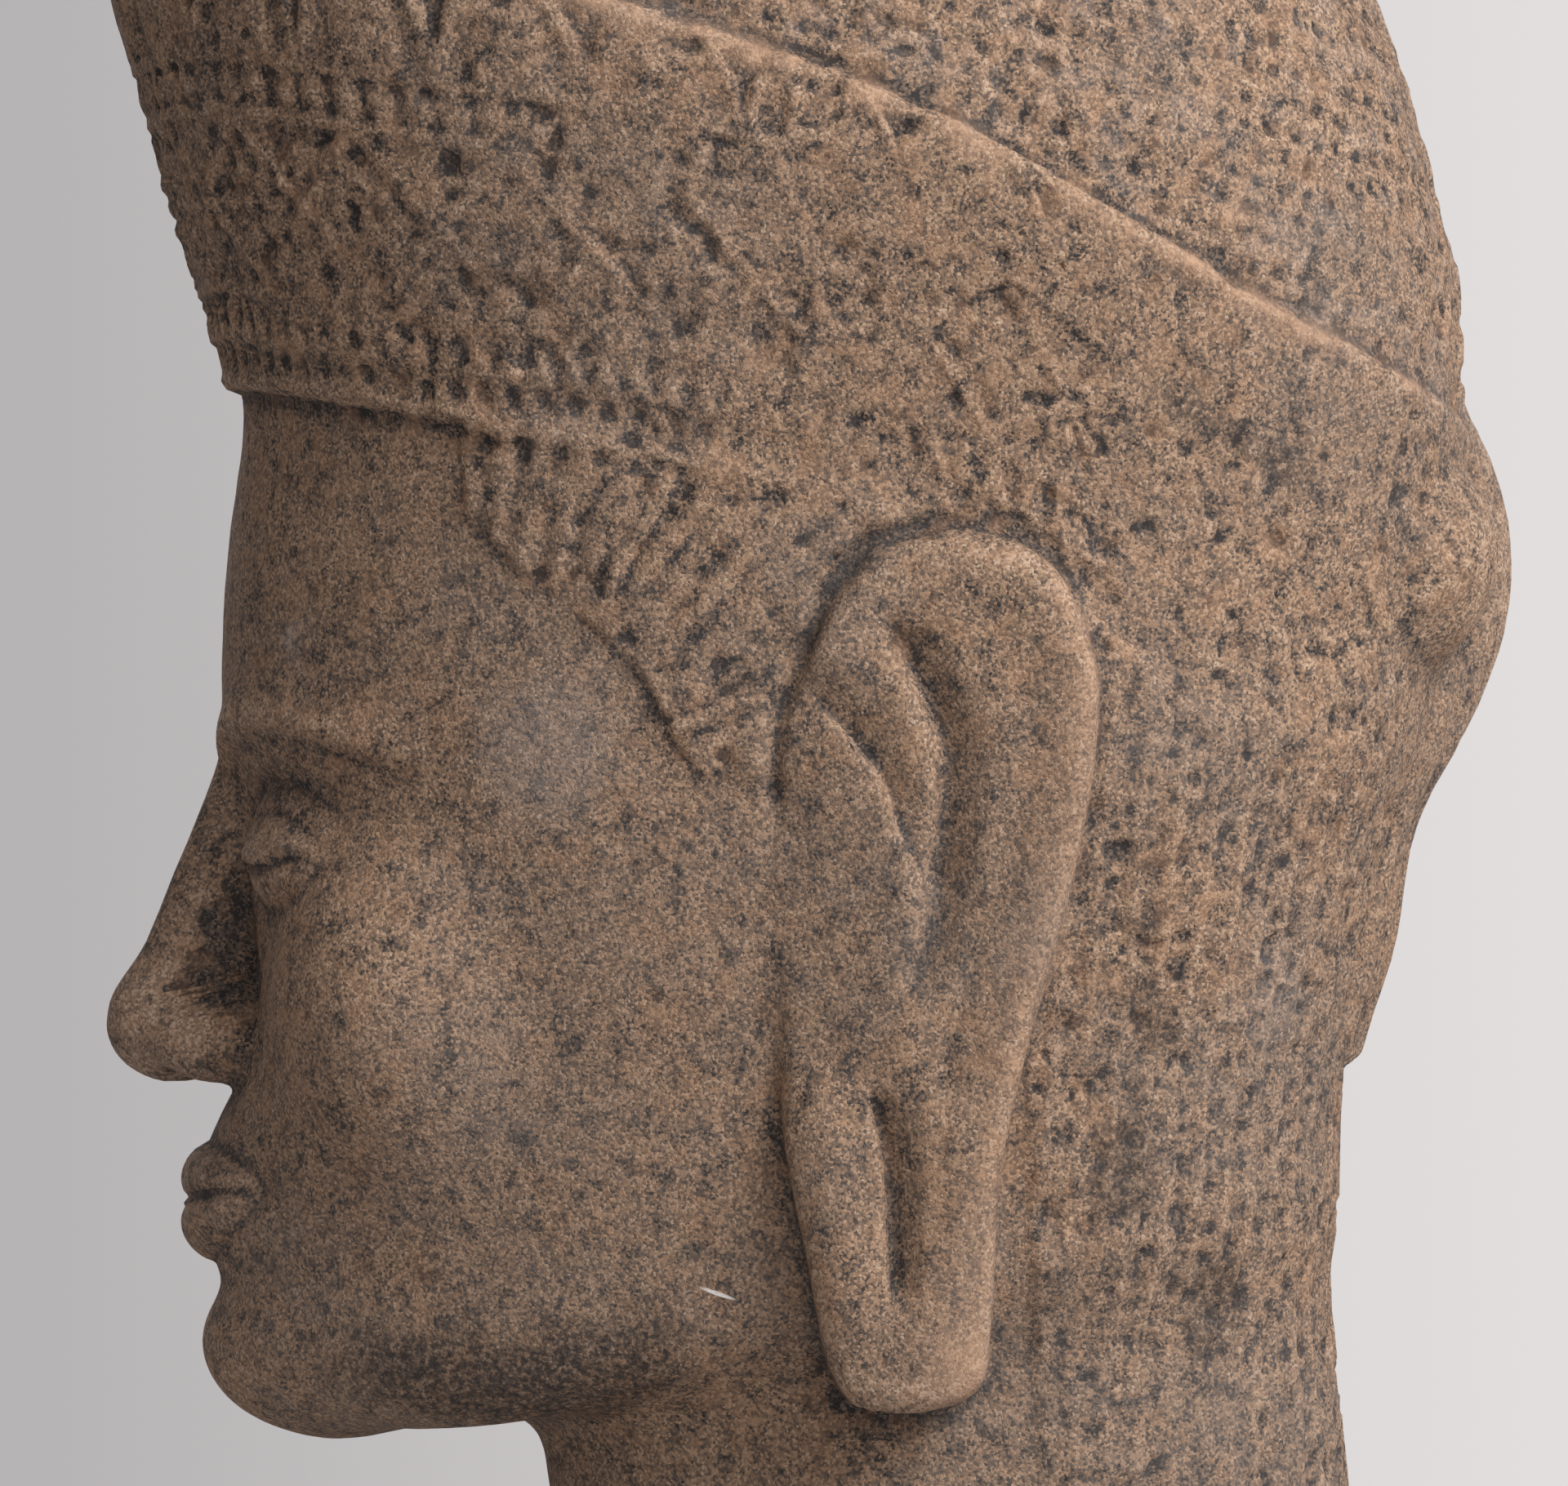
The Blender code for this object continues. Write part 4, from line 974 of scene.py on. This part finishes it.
def make_head():
    """The carved head as one closed mesh in place of the plain solid."""
    half = skin(COLUMNS // 2 + 1, ROWS)
    way = whole_turn(outward(half))
    points = whole_turn(half)
    height, rough, off_ear = carved(points)
    points = points + way * height
    near, far = hollows(points, way)
    stain_and_shade, pale, grey, highlight_and_wear = marks(points, rough, off_ear)
    facts = {
        "rough": rough * off_ear + 0.35 * (1 - rough) * off_ear,
        "near_hollow": near,
        "far_hollow": far,
        "stain_and_shade": stain_and_shade,
        "pale": pale,
        "grey": grey,
        "highlight_and_wear": highlight_and_wear,
    }
    points[2] -= CUT
    points[1] -= DEPTH_MIDDLE
    points[:, -1] = points[:, -1].mean(axis=1, keepdims=True)
    mesh = thinned(grid_mesh("head_stone", points * POINT, facts), TRIANGLES_KEPT)
    cut_flat(mesh)
    mesh.materials.clear()
    mesh.materials.append(sandstone())
    mesh.shade_smooth()
    head = bpy.data.objects.new("head_stone", mesh)
    bpy.context.scene.collection.objects.link(head)
    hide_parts("vishnu_head")
    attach(head, "root")


def place_camera():
    """The camera, level and square to the head's left side."""
    data = bpy.data.cameras.new("camera")
    data.sensor_width = SENSOR_WIDTH
    data.lens = SENSOR_WIDTH * CAMERA_DISTANCE / VIEW_WIDTH
    camera = bpy.data.objects.new("camera", data)
    camera.location = (CAMERA_DISTANCE, *AIM)
    camera.rotation_euler = (math.radians(90), 0, math.radians(90))
    bpy.context.scene.collection.objects.link(camera)
    bpy.context.scene.camera = camera


def place_floor():
    """A plain pale round floor under the neck."""
    work = bmesh.new()
    bmesh.ops.create_circle(work, cap_ends=True, segments=96, radius=FLOOR_RADIUS)
    mesh = bpy.data.meshes.new("floor")
    work.to_mesh(mesh)
    work.free()
    material = bpy.data.materials.new("pale_floor")
    material.use_nodes = True
    shader = material.node_tree.nodes["Principled BSDF"]
    shader.inputs["Base Color"].default_value = paint(180, 178, 177)
    shader.inputs["Roughness"].default_value = 0.9
    mesh.materials.append(material)
    floor = bpy.data.objects.new("floor", mesh)
    bpy.context.scene.collection.objects.link(floor)


def place_lights():
    """Soft studio light: a broad key from behind, above and the left side, a weak fill, and a pale room."""
    for name, way, distance, size, power in (
        ("key", (0.72, 0.64, 0.60), 1.6, 0.8, 24.0),
        ("fill", (0.95, -0.05, 0.25), 2.0, 1.2, 4.6),
        ("far side", (-0.95, -0.12, 0.45), 1.8, 1.2, 14.0),
    ):
        data = bpy.data.lights.new(name, "AREA")
        data.size = size
        data.energy = power
        lamp = bpy.data.objects.new(name, data)
        toward = Vector(way).normalized()
        lamp.location = Vector((0, 0, 0.2)) + toward * distance
        lamp.rotation_euler = (-toward).to_track_quat("-Z", "Y").to_euler()
        bpy.context.scene.collection.objects.link(lamp)
    world = bpy.data.worlds.new("room")
    bpy.context.scene.world = world
    world.use_nodes = True
    tree = world.node_tree
    way = wire(tree, "ShaderNodeTexCoord").outputs["Generated"]
    parts = wire(tree, "ShaderNodeSeparateXYZ", Vector=way)
    share = ranged(tree, parts.outputs["Y"], -0.12, 0.12)
    colour = mixed(tree, share, paint(179, 176, 177), paint(228, 224, 224))
    ahead = ranged(tree, parts.outputs["Y"], 0.1, -0.7)
    shade = reckoned(tree, "MULTIPLY", ranged(tree, parts.outputs["X"], -0.7, 0.1), ahead)
    colour = mixed(tree, reckoned(tree, "MULTIPLY", shade, 0.74), colour, paint(90, 86, 85))
    tree.links.new(colour, tree.nodes["Background"].inputs["Color"])
    tree.nodes["Background"].inputs["Strength"].default_value = 1.0
    bpy.context.scene.view_settings.view_transform = "Standard"


place_camera()
make_head()
place_floor()
place_lights()
